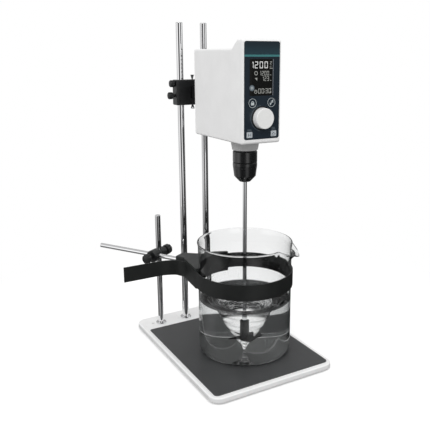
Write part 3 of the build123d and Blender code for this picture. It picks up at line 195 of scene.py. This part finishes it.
def moulded(name, colour, rough, grain_size=0.35, depth=0.03, coat=0.0):
    """Moulded or sprayed surface: faint cloudiness in colour and gloss over a fine grain."""
    material, sheet, shader = finish(name, {"Coat Weight": coat, "Coat Roughness": 0.12})
    cloud = sheet.grain(28.0, 4.0)
    fine = sheet.grain(1.0 / (grain_size * MM), 2.0)
    feed(sheet, shader, colour=sheet.mottle(cloud, darker(colour, 0.95), colour),
         rough=sheet.spread(cloud, rough - 0.05, rough + 0.05) + (fine - 0.5) * 0.08,
         normal=sheet.bump(fine, depth * MM))
    return material


def metal(name, colour, rough, scratch, depth):
    """Ground or polished metal with fine lines along the direction that scratch stretches least."""
    material, sheet, shader = finish(name, {"Metallic": 1.0})
    lines = sheet.grain(1.0, 3.0, scratch)
    cloud = sheet.grain(22.0, 3.0)
    feed(sheet, shader, colour=sheet.blend(sheet.spread(cloud, 0.0, 0.6), colour, darker(colour, 0.93)),
         rough=sheet.spread(lines, rough * 0.85, rough * 1.2))
    if depth:
        feed(sheet, shader, normal=sheet.bump(lines, depth * MM, 0.6))
    return material


plate_enamel = moulded("plate_enamel", shade(246, 246, 246), 0.32, 0.9, 0.006, 0.3)
housing_plastic = moulded("housing_plastic", shade(248, 248, 248), 0.42, 0.5, 0.006)
neck_plastic = moulded("neck_plastic", shade(190, 190, 190), 0.5, 0.5, 0.02)
clamp_black = moulded("clamp_black", shade(30, 31, 31), 0.4, 0.5, 0.02)
screw_black = moulded("screw_black", shade(28, 29, 30), 0.36, 0.5, 0.02)
cast_black = moulded("cast_black", shade(27, 28, 29), 0.36, 0.6, 0.03)
jaw_grey = moulded("jaw_grey", shade(42, 44, 44), 0.45, 0.6, 0.02)
foot_rubber = moulded("foot_rubber", shade(42, 42, 42), 0.7, 0.6, 0.03)
board_lacquer = moulded("board_lacquer", shade(24, 84, 52), 0.35, 1.0, 0.02)
key_light = moulded("key_light", shade(196, 203, 208), 0.4, 0.5, 0.01)
rod_chrome = metal("rod_chrome", (0.90, 0.90, 0.91, 1), 0.02, (300.0, 300.0, 12.0), 0.0)
turned_steel = metal("turned_steel", (0.60, 0.61, 0.62, 1), 0.22, (260.0, 260.0, 2600.0), 0.004)
ground_steel = metal("ground_steel", (0.72, 0.73, 0.74, 1), 0.05, (300.0, 300.0, 30.0), 0.0)
milled_aluminium = metal("milled_aluminium", (0.74, 0.75, 0.76, 1), 0.3, (900.0, 60.0, 900.0), 0.004)


def chuck_finish():
    """Black chuck: glossy, with fine turning lines round it."""
    material, sheet, shader = finish("chuck_black", {"Coat Weight": 0.6, "Coat Roughness": 0.16})
    lines = sheet.grain(1.0, 3.0, (40.0, 40.0, 3800.0))
    cloud = sheet.grain(45.0, 4.0)
    feed(sheet, shader, colour=sheet.mottle(cloud, shade(15, 16, 17), shade(22, 23, 24)),
         rough=sheet.spread(lines, 0.22, 0.34), normal=sheet.bump(lines, 0.006 * MM))
    return material


def knob_finish():
    """White knob: a finely grained face inside a smooth, brighter rim."""
    material, sheet, shader = finish("knob_plastic", {"Coat Weight": 0.15, "Coat Roughness": 0.15})
    low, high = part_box("control_knob")
    across = sheet.along("X") - (low.x + high.x) / 2
    up = sheet.along("Z") - (low.z + high.z) / 2
    radius = (across * across + up * up) ** 0.5
    front = sheet.along("Y") < low.y + 0.8 * MM
    face = sheet.ease(radius, 16.6 * MM, 17.6 * MM, 1.0, 0.0) * front
    grains = sheet.grain(1500.0, 3.0)
    grained = sheet.mottle(grains, shade(238, 238, 236), shade(250, 250, 249))
    feed(sheet, shader, colour=sheet.blend(face, shade(246, 246, 246), grained),
         rough=sheet.spread(grains, 0.34, 0.44), normal=sheet.bump(grains * face, 0.03 * MM))
    return material


def mat_sheet():
    """Rubber sheet: a fine pebbled, slightly shiny face, a little paler where it has been wiped."""
    material, sheet, shader = finish("mat_sheet", {"Specular IOR Level": 0.3})
    pebbles = sheet.node("TexVoronoi", {}, {"Vector": sheet.place(), "Scale": 900.0})
    cloud = sheet.grain(9.0, 5.0)
    feed(sheet, shader, colour=sheet.mottle(cloud, shade(62, 63, 64), shade(72, 73, 74)),
         rough=sheet.spread(cloud, 0.34, 0.46), normal=sheet.bump(pebbles, 0.008 * MM))
    return material


def strap_sheet():
    """Black rubber strap with fine lines moulded along it."""
    material, sheet, shader = finish("strap_sheet", {"Specular IOR Level": 0.4})
    values = {"Vector": sheet.place(), "Scale": 90.0, "Distortion": 0.0}
    lines = sheet.node("TexWave", {"bands_direction": "Z"}, values)
    cloud = sheet.grain(40.0, 4.0)
    feed(sheet, shader, colour=sheet.mottle(cloud, shade(26, 28, 28), shade(32, 34, 33)),
         rough=sheet.spread(cloud, 0.42, 0.55), normal=sheet.bump(lines, 0.02 * MM))
    return material


def panel_film():
    """Navy film with a slate head band over a thin teal line, and black beside the window."""
    material, sheet, shader = finish("panel_film", {"Coat Weight": 0.15, "Coat Roughness": 0.12})
    height = sheet.along("Z")
    low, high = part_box("panel_overlay")
    band_foot = low.z + 151.6 * MM
    line = (height > band_foot - 3.6 * MM) * (height < band_foot)
    speck = sheet.grain(2500.0, 2.0)
    field = sheet.mottle(speck, shade(24, 36, 47), shade(28, 42, 53))
    window_low, window_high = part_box("display_window")
    across = sheet.along("X")
    beside = (across > window_low.x - 5.5 * MM) * (across < window_low.x + 1 * MM)
    beside = beside * (height > window_low.z) * (height < window_high.z)
    head_band = sheet.blend(sheet.ease(height, band_foot, high.z), shade(34, 60, 70), shade(27, 42, 51))
    film = sheet.blend(height > band_foot, sheet.blend(beside, field, shade(17, 17, 16)), head_band)
    lined = sheet.blend(line, film, shade(62, 128, 130))
    feed(sheet, shader, colour=lined, rough=sheet.spread(speck, 0.30, 0.38))
    return material


def window_glaze():
    """Glossy black window with a thin paler line down its right edge."""
    material, sheet, shader = finish("window_glaze", {"Coat Weight": 0.2, "Coat Roughness": 0.08})
    across = sheet.along("X")
    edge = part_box("display_window")[1].x
    line = (across > edge - 2.0 * MM) * (across < edge - 0.6 * MM)
    smears = sheet.grain(60.0, 5.0)
    lined = sheet.blend(line, shade(17, 17, 16), shade(118, 124, 132))
    feed(sheet, shader, colour=lined, rough=sheet.spread(smears, 0.16, 0.24))
    return material


def printed(name, colour):
    """Ink printed on the panel, thinner in places."""
    material, sheet, shader = finish(name, {"Roughness": 0.5})
    feed(sheet, shader, colour=sheet.mottle(sheet.grain(900.0, 2.0), darker(colour, 0.9), colour))
    return material


def lit(name, colour, strength):
    """A lit display stroke that glows by itself and hardly takes light from outside."""
    fixed = {"Base Color": (0.02, 0.02, 0.02, 1), "Emission Strength": strength}
    material, sheet, shader = finish(name, fixed)
    feed(sheet, shader, glow=sheet.mottle(sheet.grain(900.0, 2.0), darker(colour, 0.9), colour))
    return material


def clear(name, colour, painted_edge_shade, index, gloss, ripple):
    """Clear glass or water with a slow ripple in its face; its faint own tint darkens where it is seen edge
    on, a painted shade that draws its outlines.
    """
    fixed = {"Transmission Weight": 1.0, "IOR": index, "Specular IOR Level": gloss}
    material, sheet, shader = finish(name, fixed)
    waves = sheet.grain(26.0, 2.0, (1.0, 1.0, 0.35))
    # Painted shade: the colour darkens towards the given edge colour where the face is seen edge on.
    edge = sheet.node("LayerWeight", {}, {"Blend": 0.5}, "Facing")
    feed(sheet, shader, colour=sheet.blend(edge ** 2.5, colour, painted_edge_shade),
         rough=sheet.spread(sheet.grain(14.0, 4.0), 0.0, 0.012), normal=sheet.bump(waves, ripple * MM))
    return material


def swirl_painted_glare(axis):
    """Wall of the funnel, painted glare: a glowing white painted reflection below about 80 mm, crossed by
    dark lines strongest low down, and grey above with bright painted highlight arcs.
    """
    # The wall glows though it is no lamp: its emission is painted light.
    material, sheet, shader = finish("swirl_painted_glare", {"Roughness": 0.3, "Emission Strength": 0.55})
    across, deep = sheet.along("X") - axis[0], sheet.along("Y") - axis[1]
    height = sheet.along("Z")
    radius = (across * across + deep * deep) ** 0.5
    turns = sheet.node("CombineXYZ", {}, {"X": across / radius, "Y": deep / radius, "Z": height * 170.0})
    noise = sheet.node("TexNoise", {}, {"Vector": turns, "Scale": 1.1, "Detail": 3.0, "Roughness": 0.5})
    line = sheet.ease(sheet.math("ABSOLUTE", noise - 0.5), 0.010, 0.035, 1.0, 0.0)
    from_water = sheet.node("NewGeometry", {}, {}, "Backfacing")
    edge = sheet.node("LayerWeight", {}, {"Blend": 0.5}, "Facing")
    low_down = sheet.ease(height, 36 * MM, 60 * MM, 1.0, 0.0)
    # Painted reflection: below about 80 mm the wall is a glowing white, crossed by dark lines that are
    # strongest low down.
    glare_zone = sheet.ease(height, 78 * MM, 84 * MM, 1.0, 0.0)
    white = sheet.blend(line * (0.10 + low_down * 0.7), shade(252, 252, 252), shade(60, 62, 62))
    # Painted highlights: above that the wall is grey, with bright arcs along the lines.
    grey = sheet.blend(line, shade(72, 74, 74), shade(240, 240, 240))
    painted_tone = sheet.blend(glare_zone, grey, white)
    unlit = (0, 0, 0, 1)
    from_above = (0.6 + 0.38 * glare_zone) * (1 - from_water)
    # Painted shade: seen from inside the water the wall is dark, most where it is seen edge on and along
    # the lines low down.
    from_below = from_water * (edge ** 2.0 * 0.95 + line * low_down * 0.75)
    feed(sheet, shader, colour=sheet.blend(from_water, painted_tone, shade(30, 31, 31)),
         glow=sheet.blend(from_water, sheet.blend(glare_zone, unlit, white), unlit),
         solid=from_above + from_below)
    return material


mat_rubber = mat_sheet()
strap_rubber = strap_sheet()
chuck_black = chuck_finish()
knob_plastic = knob_finish()
panel_print = panel_film()
window_black = window_glaze()
lit_white = lit("lit_white", shade(244, 246, 244), 0.80)
lit_grey = lit("lit_grey", shade(206, 208, 202), 0.48)
ink_white = printed("ink_white", shade(196, 204, 206))
ink_grey = printed("ink_grey", shade(104, 116, 124))
ink_dark = printed("ink_dark", shade(84, 94, 102))
beaker_glass = clear("beaker_glass", (0.925, 0.930, 0.930, 1), (0.40, 0.41, 0.41, 1), 1.47, 0.35, 0.02)
stirred_water = clear("stirred_water", (0.86, 0.87, 0.87, 1), (0.60, 0.61, 0.61, 1), 1.333, 0.3, 0.04)

finishes = {
    plate_enamel: ["base_plate"],
    mat_rubber: ["stand_mat"],
    foot_rubber: ["rubber_feet", "drive_belt"],
    rod_chrome: ["tall_rod_left", "tall_rod_right", "short_rod", "clamp_rod", "rod_flanges"],
    ground_steel: ["pivot_pin", "stirring_shaft", "spindle", "motor_shaft", "encoder_shaft", "encoder"],
    turned_steel: ["rod_screws", "flange_screws", "head_screws", "lower_bearing", "upper_bearing",
                   "sleeve_ring", "chuck_jaw_1", "chuck_jaw_2", "chuck_jaw_3"],
    milled_aluminium: ["neck_flange", "spindle_pulley", "motor_pulley", "drive_plate", "motor"],
    cast_black: ["carriage_block", "boss_head", "head_arm"],
    screw_black: ["upper_thumb_screw", "lower_thumb_screw", "rod_thumb_screw", "post_thumb_screw",
                  "power_jack", "switch_frame", "switch_rocker", "knob_ring", "display_module"],
    housing_plastic: ["head_housing", "rear_cover"],
    neck_plastic: ["neck_collar", "bearing_cap"],
    knob_plastic: ["control_knob"],
    chuck_black: ["chuck_core", "chuck_sleeve"],
    clamp_black: ["propeller"],
    jaw_grey: ["jaw_block"],
    board_lacquer: ["control_board"],
    strap_rubber: ["strap"],
    panel_print: ["panel_overlay", "lock_key", "run_key"],
    window_black: ["display_window"],
    key_light: ["left_key", "right_key"],
    beaker_glass: ["beaker"],
}
for surface, names in finishes.items():
    for name in names:
        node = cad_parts[name]
        node.data.materials.clear()
        node.data.materials.append(surface)


def piece_from(name, points, faces, surface, body, soft_angle=40):
    """A piece of this mesh, smooth where its faces meet at less than soft_angle degrees."""
    mesh = bpy.data.meshes.new(name)
    mesh.from_pydata(points, [], faces)
    mesh.validate()
    mesh.shade_smooth()
    mesh.set_sharp_from_angle(angle=radians(soft_angle))
    mesh.materials.append(surface)
    piece = bpy.data.objects.new(name, mesh)
    bpy.context.scene.collection.objects.link(piece)
    if body:
        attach(piece, body)
    return piece


def turned(profile, centre, steps, shape=None):
    """Points and faces of a (radius, height) profile turned about an upright axis. shape moves a point."""
    points, faces, rings = [], [], []
    for radius, height in profile:
        if radius == 0:
            rings.append([len(points)])
            points.append((centre[0], centre[1], height))
            continue
        rings.append([])
        for step in range(steps):
            turn = 2 * pi * step / steps
            rings[-1].append(len(points))
            point = Vector((radius * cos(turn), radius * sin(turn), height))
            if shape:
                point = shape(point, turn)
            points.append((centre[0] + point.x, centre[1] + point.y, point.z))
    for lower, upper in zip(rings, rings[1:]):
        for step in range(steps):
            after = (step + 1) % steps
            if len(lower) == 1:
                faces.append((lower[0], upper[after], upper[step]))
            elif len(upper) == 1:
                faces.append((lower[step], lower[after], upper[0]))
            else:
                faces.append((lower[step], lower[after], upper[after], upper[step]))
    return points, faces


def arc(centre_r, centre_z, radius, start, end, steps):
    """Profile points on an arc, angles in degrees from outward."""
    turns = [radians(start + (end - start) * step / steps) for step in range(steps + 1)]
    return [(centre_r + radius * cos(turn), centre_z + radius * sin(turn)) for turn in turns]


# Beaker: heel, wall, turned-out rim and pouring lip. Its base presses a hair into the rubber mat.
# The shaft stands on the beaker's axis.
stand_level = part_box("stand_mat")[1].z
shaft_low, shaft_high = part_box("stirring_shaft")
axis = ((shaft_low.x + shaft_high.x) / 2, (shaft_low.y + shaft_high.y) / 2)
beaker_radius, beaker_wall, beaker_floor = 95.0 * MM, 2.4 * MM, 4.0 * MM
beaker_heel, beaker_flare, rim_bead, flare_foot = 12.0 * MM, 1.6 * MM, 1.3 * MM, 4.0 * MM
flat_base = 40.0 * MM
rim_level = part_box("beaker")[1].z
base_sink = 0.05 * MM
lip_turn, lip_half, lip_nose = radians(-57), radians(21), 0.12
lip_reach, lip_dip, lip_foot = 22.0 * MM, 16.0 * MM, 36.0 * MM


def pouring_lip(point, turn):
    """Pulls the wall out into the lip, most at the rim and not at all below the lip's foot."""
    away = abs((turn - lip_turn + pi) % (2 * pi) - pi) / lip_half
    rise = (point.z - (rim_level - lip_foot)) / lip_foot
    if away >= 1 or rise <= 0:
        return point
    share = (hypot(1, lip_nose) - hypot(away, lip_nose)) / (hypot(1, lip_nose) - lip_nose)
    out = lip_reach * share * rise ** 1.2
    down = lip_dip * share * rise ** 3
    return Vector((point.x + out * cos(turn), point.y + out * sin(turn), point.z - down))


def make_beaker():
    """The glass as one turned skin: up its outside, over the rim and down its inside."""
    inner = beaker_radius - beaker_wall
    heel = beaker_heel - beaker_wall
    wall_height = rim_level - stand_level
    base = stand_level - base_sink
    outside = [(0, base), (flat_base, base)]
    outside += arc(beaker_radius - beaker_heel, base + beaker_heel, beaker_heel, -90, 0, 10)
    outside += [(beaker_radius, stand_level + wall_height * share) for share in (0.2, 0.4, 0.6, 0.75, 0.85)]
    outside += [(beaker_radius, rim_level - lip_foot * share) for share in (0.95, 0.75, 0.55, 0.4, 0.28)]
    outside += [(beaker_radius + beaker_flare * 0.5, rim_level - flare_foot)]
    rim = arc(beaker_radius + beaker_flare - rim_bead, rim_level - rim_bead, rim_bead, -30, 210, 12)
    inside = [(inner + beaker_flare * 0.5, rim_level - flare_foot)]
    inside += [(inner, rim_level - lip_foot * share) for share in (0.28, 0.4, 0.55, 0.75, 0.95)]
    inside += [(inner, stand_level + wall_height * share) for share in (0.85, 0.75, 0.6, 0.4, 0.2)]
    inside += arc(inner - heel, stand_level + beaker_floor + heel, heel, 0, -90, 8)
    inside += [(flat_base, stand_level + beaker_floor), (0, stand_level + beaker_floor)]
    points, faces = turned(outside + rim + inside, axis, 240, pouring_lip)
    glass = piece_from("beaker_body", points, faces, beaker_glass, "stand", 60)
    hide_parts("beaker")


# Water drawn down into a funnel round the turning shaft: (radius, height) in millimetres, from its tip
water_level = 124.5 * MM
funnel = [(1.4, 17.5), (2.6, 21), (4.2, 26), (6, 30), (8.5, 34), (11, 38.5), (14.5, 45), (18.5, 52.5),
          (22.5, 60.5), (27.5, 70), (32, 79), (36, 88), (39.5, 96), (43, 104)]
brim = [(47, 110), (53, 114.5), (60, 118), (68, 121), (77, 123.2), (85, 124.3)]
wetting = 0.15 * MM
calm_radius, glare_radius, heel_radius, heel_level = 88 * MM, 56 * MM, 60 * MM, 60 * MM


def make_water():
    """The water's skin. It reaches a hair into the glass, so that no gap of air shows between them."""
    wall = beaker_radius - beaker_wall + wetting
    heel = beaker_heel - beaker_wall
    base = stand_level + beaker_floor - wetting
    profile = [(0, base), (flat_base, base)]
    profile += arc(wall - heel, base + heel, heel, -90, 0, 8)
    profile += [(wall, base + 40 * MM), (wall, base + 75 * MM), (wall, water_level + 1.6 * MM)]
    profile += [(wall - 1.2 * MM, water_level + 0.5 * MM)]
    drawn = [(radius * MM, height * MM) for radius, height in funnel + brim][::-1]
    cuts = 4
    for (r0, z0), (r1, z1) in zip(drawn, drawn[1:]):
        profile += [(r0 + (r1 - r0) * cut / cuts, z0 + (z1 - z0) * cut / cuts) for cut in range(cuts)]
    profile += [drawn[-1], (0, drawn[-1][1] - 1.2 * MM)]
    wall_top = funnel[-1][1] * MM

    def swirl(point, turn):
        """Rings on the funnel's brim, and a slow spiral of shallow waves down its wall."""
        radius = hypot(point.x, point.y)
        by_the_heel = radius > heel_radius and point.z < heel_level
        if radius > calm_radius or point.z < base + 1 * MM or by_the_heel:
            return point
        if point.z > wall_top:
            return Vector((point.x, point.y, point.z + 0.5 * MM * sin(radius / (1.5 * MM) + 2 * turn)))
        wave = 0.7 * sin(2 * turn + point.z / (2.6 * MM)) + 0.3 * sin(turn - point.z / (1.7 * MM))
        grow = 1 + wave * 0.035
        return Vector((point.x * grow, point.y * grow, point.z))

    points, faces = turned(profile, axis, 144, swirl)
    water = piece_from("stirred_water", points, faces, stirred_water, "stand", 80)
    # The funnel's inner faces take the painted glare as their second material.
    water.data.materials.append(swirl_painted_glare(axis))
    for face in water.data.polygons:
        inward = hypot(face.center.x - axis[0], face.center.y - axis[1]) < glare_radius
        if inward and face.normal.z > -0.2 and face.center.z > base + 2 * MM:
            face.material_index = 1


make_beaker()
make_water()


# Marks on the panel are flat outlines in millimetres from the middle of the panel's lower edge
def bar(x0, z0, x1, z1, width):
    """A straight stroke between two points."""
    along = Vector((x1 - x0, z1 - z0)).normalized()
    side = Vector((-along.y, along.x)) * width / 2
    return [(x0 + side.x, z0 + side.y), (x0 - side.x, z0 - side.y),
            (x1 - side.x, z1 - side.y), (x1 + side.x, z1 + side.y)]


def ring(x, z, radius, width, start=0.0, end=360.0, steps=40):
    """A ring, or a part of one, as a row of short strokes."""
    outer_edge = arc(x, z, radius, start, end, steps)
    inner_edge = arc(x, z, radius - width, start, end, steps)
    corners = zip(outer_edge, outer_edge[1:], inner_edge[1:], inner_edge)
    return [list(stroke) for stroke in corners]


def disc(x, z, radius, steps=28):
    return [arc(x, z, radius, 0, 360, steps)[:-1]]


def digit(number, x, z, width, height, stroke):
    """One seven-stroke figure with mitred ends: its lower left corner at x, z."""
    gap, lean = stroke * 0.1, stroke * 0.9
    right, top, middle = x + width, z + height, z + height / 2
    near, far = x + stroke, right - stroke
    above_base, below_top = z + stroke, top - stroke
    under, over = middle - stroke / 2, middle + stroke / 2
    strokes = {
        "a": [(x + gap, top), (right - gap, top), (right - lean, below_top), (x + lean, below_top)],
        "d": [(x + gap, z), (x + lean, above_base), (right - lean, above_base), (right - gap, z)],
        "g": [(x + lean, under), (x + lean / 2, middle), (x + lean, over), (right - lean, over),
              (right - lean / 2, middle), (right - lean, under)],
        "f": [(x, top - gap), (x, middle + gap), (near, over + gap), (near, below_top - gap)],
        "b": [(right, top - gap), (far, below_top - gap), (far, over + gap), (right, middle + gap)],
        "e": [(x, z + gap), (near, above_base + gap), (near, under - gap), (x, middle - gap)],
        "c": [(right, z + gap), (right, middle - gap), (far, under - gap), (far, above_base + gap)],
        "flag": [(far, below_top), (far - lean, below_top - stroke), (far - lean, below_top), (far, top)],
    }
    lit_strokes = {"0": "abcdef", "1": ("b", "c", "flag"), "2": "abged", "3": "abgcd"}[number]
    return [strokes[key] for key in lit_strokes]


def figures(text, x, z, pitch, width, height, stroke):
    """A row of figures from its lower left corner."""
    row = [digit(number, x + place * pitch, z, width, height, stroke) for place, number in enumerate(text)]
    return [mark for one_figure in row for mark in one_figure]


def raised(name, marks, front, origin, surface, body, thick=0.08 * MM):
    """Flat marks in millimetres from origin (x, z), standing a hair proud of the face at y = front."""
    points, faces = [], []
    for mark in marks:
        mark = [(origin[0] + x * MM, origin[1] + z * MM) for x, z in mark]
        if sum(a[0] * b[1] - b[0] * a[1] for a, b in zip(mark, mark[1:] + mark[:1])) > 0:
            mark.reverse()
        count, first = len(mark), len(points)
        points += [(x, front - thick, z) for x, z in mark] + [(x, front, z) for x, z in mark]
        faces.append(tuple(reversed(range(first, first + count))))
        for step in range(count):
            after = (step + 1) % count
            faces.append((first + step, first + after, first + count + after, first + count + step))
    return piece_from(name, points, faces, surface, body, 20)


panel_low, panel_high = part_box("panel_overlay")
panel_origin = ((panel_low.x + panel_high.x) / 2, panel_low.z)
window_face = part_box("display_window")[0].y
thick_ink, thin_ink = 0.06 * MM, 0.05 * MM


def make_display():
    """Plain figures, units and signs behind the window."""
    speed = digit("1", -24.6, 127.8, 6.2, 11.9, 1.35) + figures("200", -15.9, 127.8, 10.4, 6.9, 11.9, 1.35)
    raised("display_figures", speed, window_face, panel_origin, lit_white, "head")
    side = figures("1200", -6.6, 115, 5.6, 4.3, 8.0, 1.0) + figures("123", -0.8, 105.3, 5.6, 4.3, 8.0, 1.0)
    clock = figures("00", -8.0, 83.2, 7.0, 5.2, 8.8, 1.1) + figures("30", 7.0, 83.2, 7.0, 5.2, 8.8, 1.1)
    clock += [bar(5.6, 85.2, 5.6, 86.6, 1.1), bar(5.6, 89.0, 5.6, 90.4, 1.1)]
    raised("display_side_figures", side + clock, window_face, panel_origin, lit_grey, "head")
    units = [bar(16.6, 135.0, 20.4, 139.4, 0.9), bar(16.6, 139.2, 21.0, 139.2, 0.9),
             bar(18.6, 132.6, 18.6, 135.8, 0.9), bar(16.0, 127.6, 22.4, 127.6, 1.1),
             bar(16.0, 130.0, 19.6, 130.0, 0.8), bar(16.4, 115.8, 19.6, 115.8, 0.9),
             bar(17.0, 106.0, 20.0, 106.0, 0.9), bar(17.6, 83.4, 17.6, 86.4, 0.9),
             bar(19.4, 83.4, 19.4, 86.4, 0.9), bar(17.4, 91.2, 20.4, 91.2, 0.8)]
    raised("display_units", units, window_face, panel_origin, lit_grey, "head")
    icons = ring(-13, 119.2, 3.7, 1.2) + [[(-15.6, 110.6), (-10.4, 111.4), (-10.6, 106.0)]]
    icons += ring(-13.4, 86.6, 3.4, 1.0)
    icons += [bar(-13.4, 86.4, -13.4, 88.8, 0.7), bar(-13.4, 86.6, -11.8, 86.6, 0.7)]
    raised("display_icons", icons, window_face, panel_origin, lit_grey, "head")
    star = [bar(-21.5, 90.4, -21.5, 96.0, 1.3), bar(-24.0, 91.7, -19.0, 94.7, 1.3),
            bar(-24.0, 94.7, -19.0, 91.7, 1.3)]
    disc_face = window_face - thick_ink
    raised("panel_badge", disc(-21.5, 93.2, 5.3), window_face, panel_origin, ink_grey, "head", thick_ink)
    raised("panel_badge_mark", star, disc_face, panel_origin, ink_white, "head", thin_ink)


def make_key_marks():
    """A plain sign on each key, a ring round the two round ones, and the dial's scale line."""
    padlock = [[(-3.3, -3.8), (3.3, -3.8), (3.3, 1.1), (-3.3, 1.1)]] + ring(0, 1.1, 2.7, 1.1, 0, 180, 20)
    arrow = [bar(-2.8, -4.4, 1.4, 2.4, 2.2), [(-1.8, 2.2), (4.2, 5.4), (3.6, -0.8)],
             bar(-3.6, -1.6, -0.6, -0.2, 1.4)]
    left_mark = [bar(-2.6, -3, -2.6, 3, 1.0), bar(2.6, -3, 2.6, 3, 1.0), bar(-2.6, 0, 2.6, 0, 1.0)]
    right_mark = [bar(-4, -1.6, 0, 2.0, 1.1), bar(0, 2.0, 4, -1.6, 1.1), bar(-4, -3.2, 4, -3.2, 0.9)]
    keys = (("lock_key", "lock_button", padlock, ink_white), ("run_key", "run_button", arrow, ink_white),
            ("left_key", "left_button", left_mark, ink_dark),
            ("right_key", "right_button", right_mark, ink_dark))
    for key, body, mark, ink in keys:
        low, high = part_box(key)
        centre = ((low.x + high.x) / 2, (low.z + high.z) / 2)
        raised(key + "_mark", mark, low.y, centre, ink, body, thick_ink)
        if ink is ink_white:
            raised(key + "_ring", ring(0, 0, 8.3, 0.75), low.y, centre, ink_white, body, thick_ink)
        else:
            rows = 2 if key == "left_key" else 3
            label = [bar(-4.6, 7.6 + 1.9 * row, 4.6 - row, 7.6 + 1.9 * row, 0.9) for row in range(rows)]
            raised(key + "_label", label, panel_low.y, centre, ink_grey, "head", thin_ink)
    low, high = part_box("knob_ring")
    centre = ((low.x + high.x) / 2, (low.z + high.z) / 2)
    scale_line = ring(0, 0, 23.6, 0.45, 96, 262, 60)
    raised("knob_scale", scale_line, panel_low.y, centre, ink_grey, "head", thin_ink)


make_display()
make_key_marks()


def studio_glow(sheet, x, y):
    """Bright boards and dark flags round the stand, as polished metal and glass show them.

    Each stop is a place in a full turn round the stand, from straight behind it, and a brightness.
    """
    sideways = x * cos(photo_heading) - y * sin(photo_heading)
    forwards = x * -sin(photo_heading) - y * cos(photo_heading)
    round_turn = sheet.math("ARCTAN2", sideways, forwards) / (2 * pi) + 0.5
    stops = ((0.0, 0.30), (0.08, 0.45), (0.19, 0.62), (0.25, 0.42), (0.325, 0.95), (0.36, 0.80),
             (0.395, 0.10), (0.46, 0.07), (0.52, 0.12), (0.545, 1.0), (0.59, 0.85), (0.62, 0.08),
             (0.76, 0.04), (0.86, 0.08), (0.94, 0.32), (1.0, 0.30))
    return sheet.node("ValToRGB", {"stops": stops}, {"Fac": round_turn}) * 1.3


def ray_shares(sheet):
    """Shares of a ray that lit something dull, came off something polished, and is seen straight."""
    dull = sheet.depth("Diffuse")
    mirrored = sheet.depth("Glossy") * (1 - dull)
    return dull, mirrored, 1 - sheet.math("MAXIMUM", dull, mirrored)


def lay_floor():
    """Pale paper that takes a soft shadow near the stand and fades to plain white further out."""
    floor_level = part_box("rubber_feet")[0].z
    fixed = {"Roughness": 0.9, "Specular IOR Level": 0.0, "Emission Strength": 1.0}
    material, sheet, shader = finish("floor", fixed)
    x, y = sheet.along("X"), sheet.along("Y")
    distance = (x * x + y * y) ** 0.5
    dull, mirrored, seen = ray_shares(sheet)
    black, bounce = (0, 0, 0, 1), (0.30, 0.30, 0.30, 1)
    paper = sheet.blend(sheet.grain(3.0), (0.92, 0.92, 0.92, 1), (0.94, 0.94, 0.94, 1))
    far = sheet.ease(distance, 0.28, 0.75)
    face = sheet.blend(dull, sheet.blend(far, paper, black), bounce)
    lift = 0.2 + far * 0.8
    boards = studio_glow(sheet, x, y - 0.05) * sheet.ease(distance, 0.3, 1.8, 0.25, 0.9)
    feed(sheet, shader, colour=sheet.blend(mirrored, face, black), glow=seen * lift + mirrored * boards)
    material.cycles.emission_sampling = "NONE"
    points, faces = turned([(0, floor_level), (1.0, floor_level), (12.0, floor_level)], (0, 0), 48)
    piece_from("floor", points, faces, material, None)


def hang_softbox(name, place, aim, size, power):
    light = bpy.data.objects.new(name, bpy.data.lights.new(name, "AREA"))
    light.data.shape, light.data.size, light.data.energy = "SQUARE", size, power
    light.location = place
    light.rotation_euler = (Vector(aim) - Vector(place)).to_track_quat("-Z", "Y").to_euler()
    bpy.context.scene.collection.objects.link(light)


def light_studio():
    """Even white surroundings, boards that polished faces show and flags that glass and water show."""
    world = bpy.data.worlds.new("studio")
    bpy.context.scene.world = world
    world.use_nodes = True
    world.cycles.sampling_method = "NONE"
    sky = Sheet(world.node_tree)
    direction = sky.node("TexCoord", {}, {}, "Generated")
    x, y, z = (sky.node("SeparateXYZ", {}, {"Vector": direction}, part) for part in "XYZ")
    overhead = sky.ease(sky.math("ABSOLUTE", z), 0.35, 0.65)
    dull, mirrored, seen = ray_shares(sky)
    boards = studio_glow(sky, x, y) * (1 - overhead) + overhead * 0.55
    flags = sky.ease(z, 0.12, 0.45, 0.0, 0.8) * sky.depth("Transmission")
    light = seen * (1 - flags) + mirrored * boards + dull * 0.96
    background = world.node_tree.nodes["Background"]
    background.inputs["Color"].default_value = (1, 1, 1, 1)
    sky.tree.links.new(light.socket, background.inputs["Strength"])
    bpy.context.scene.view_settings.view_transform = "Standard"


lay_floor()
hang_softbox("key_light", (-1.6, -1.4, 2.0), (0, 0, 0.35), 1.4, 16)
hang_softbox("side_light", (1.9, -0.9, 1.2), (0, 0, 0.3), 1.2, 5)
light_studio()
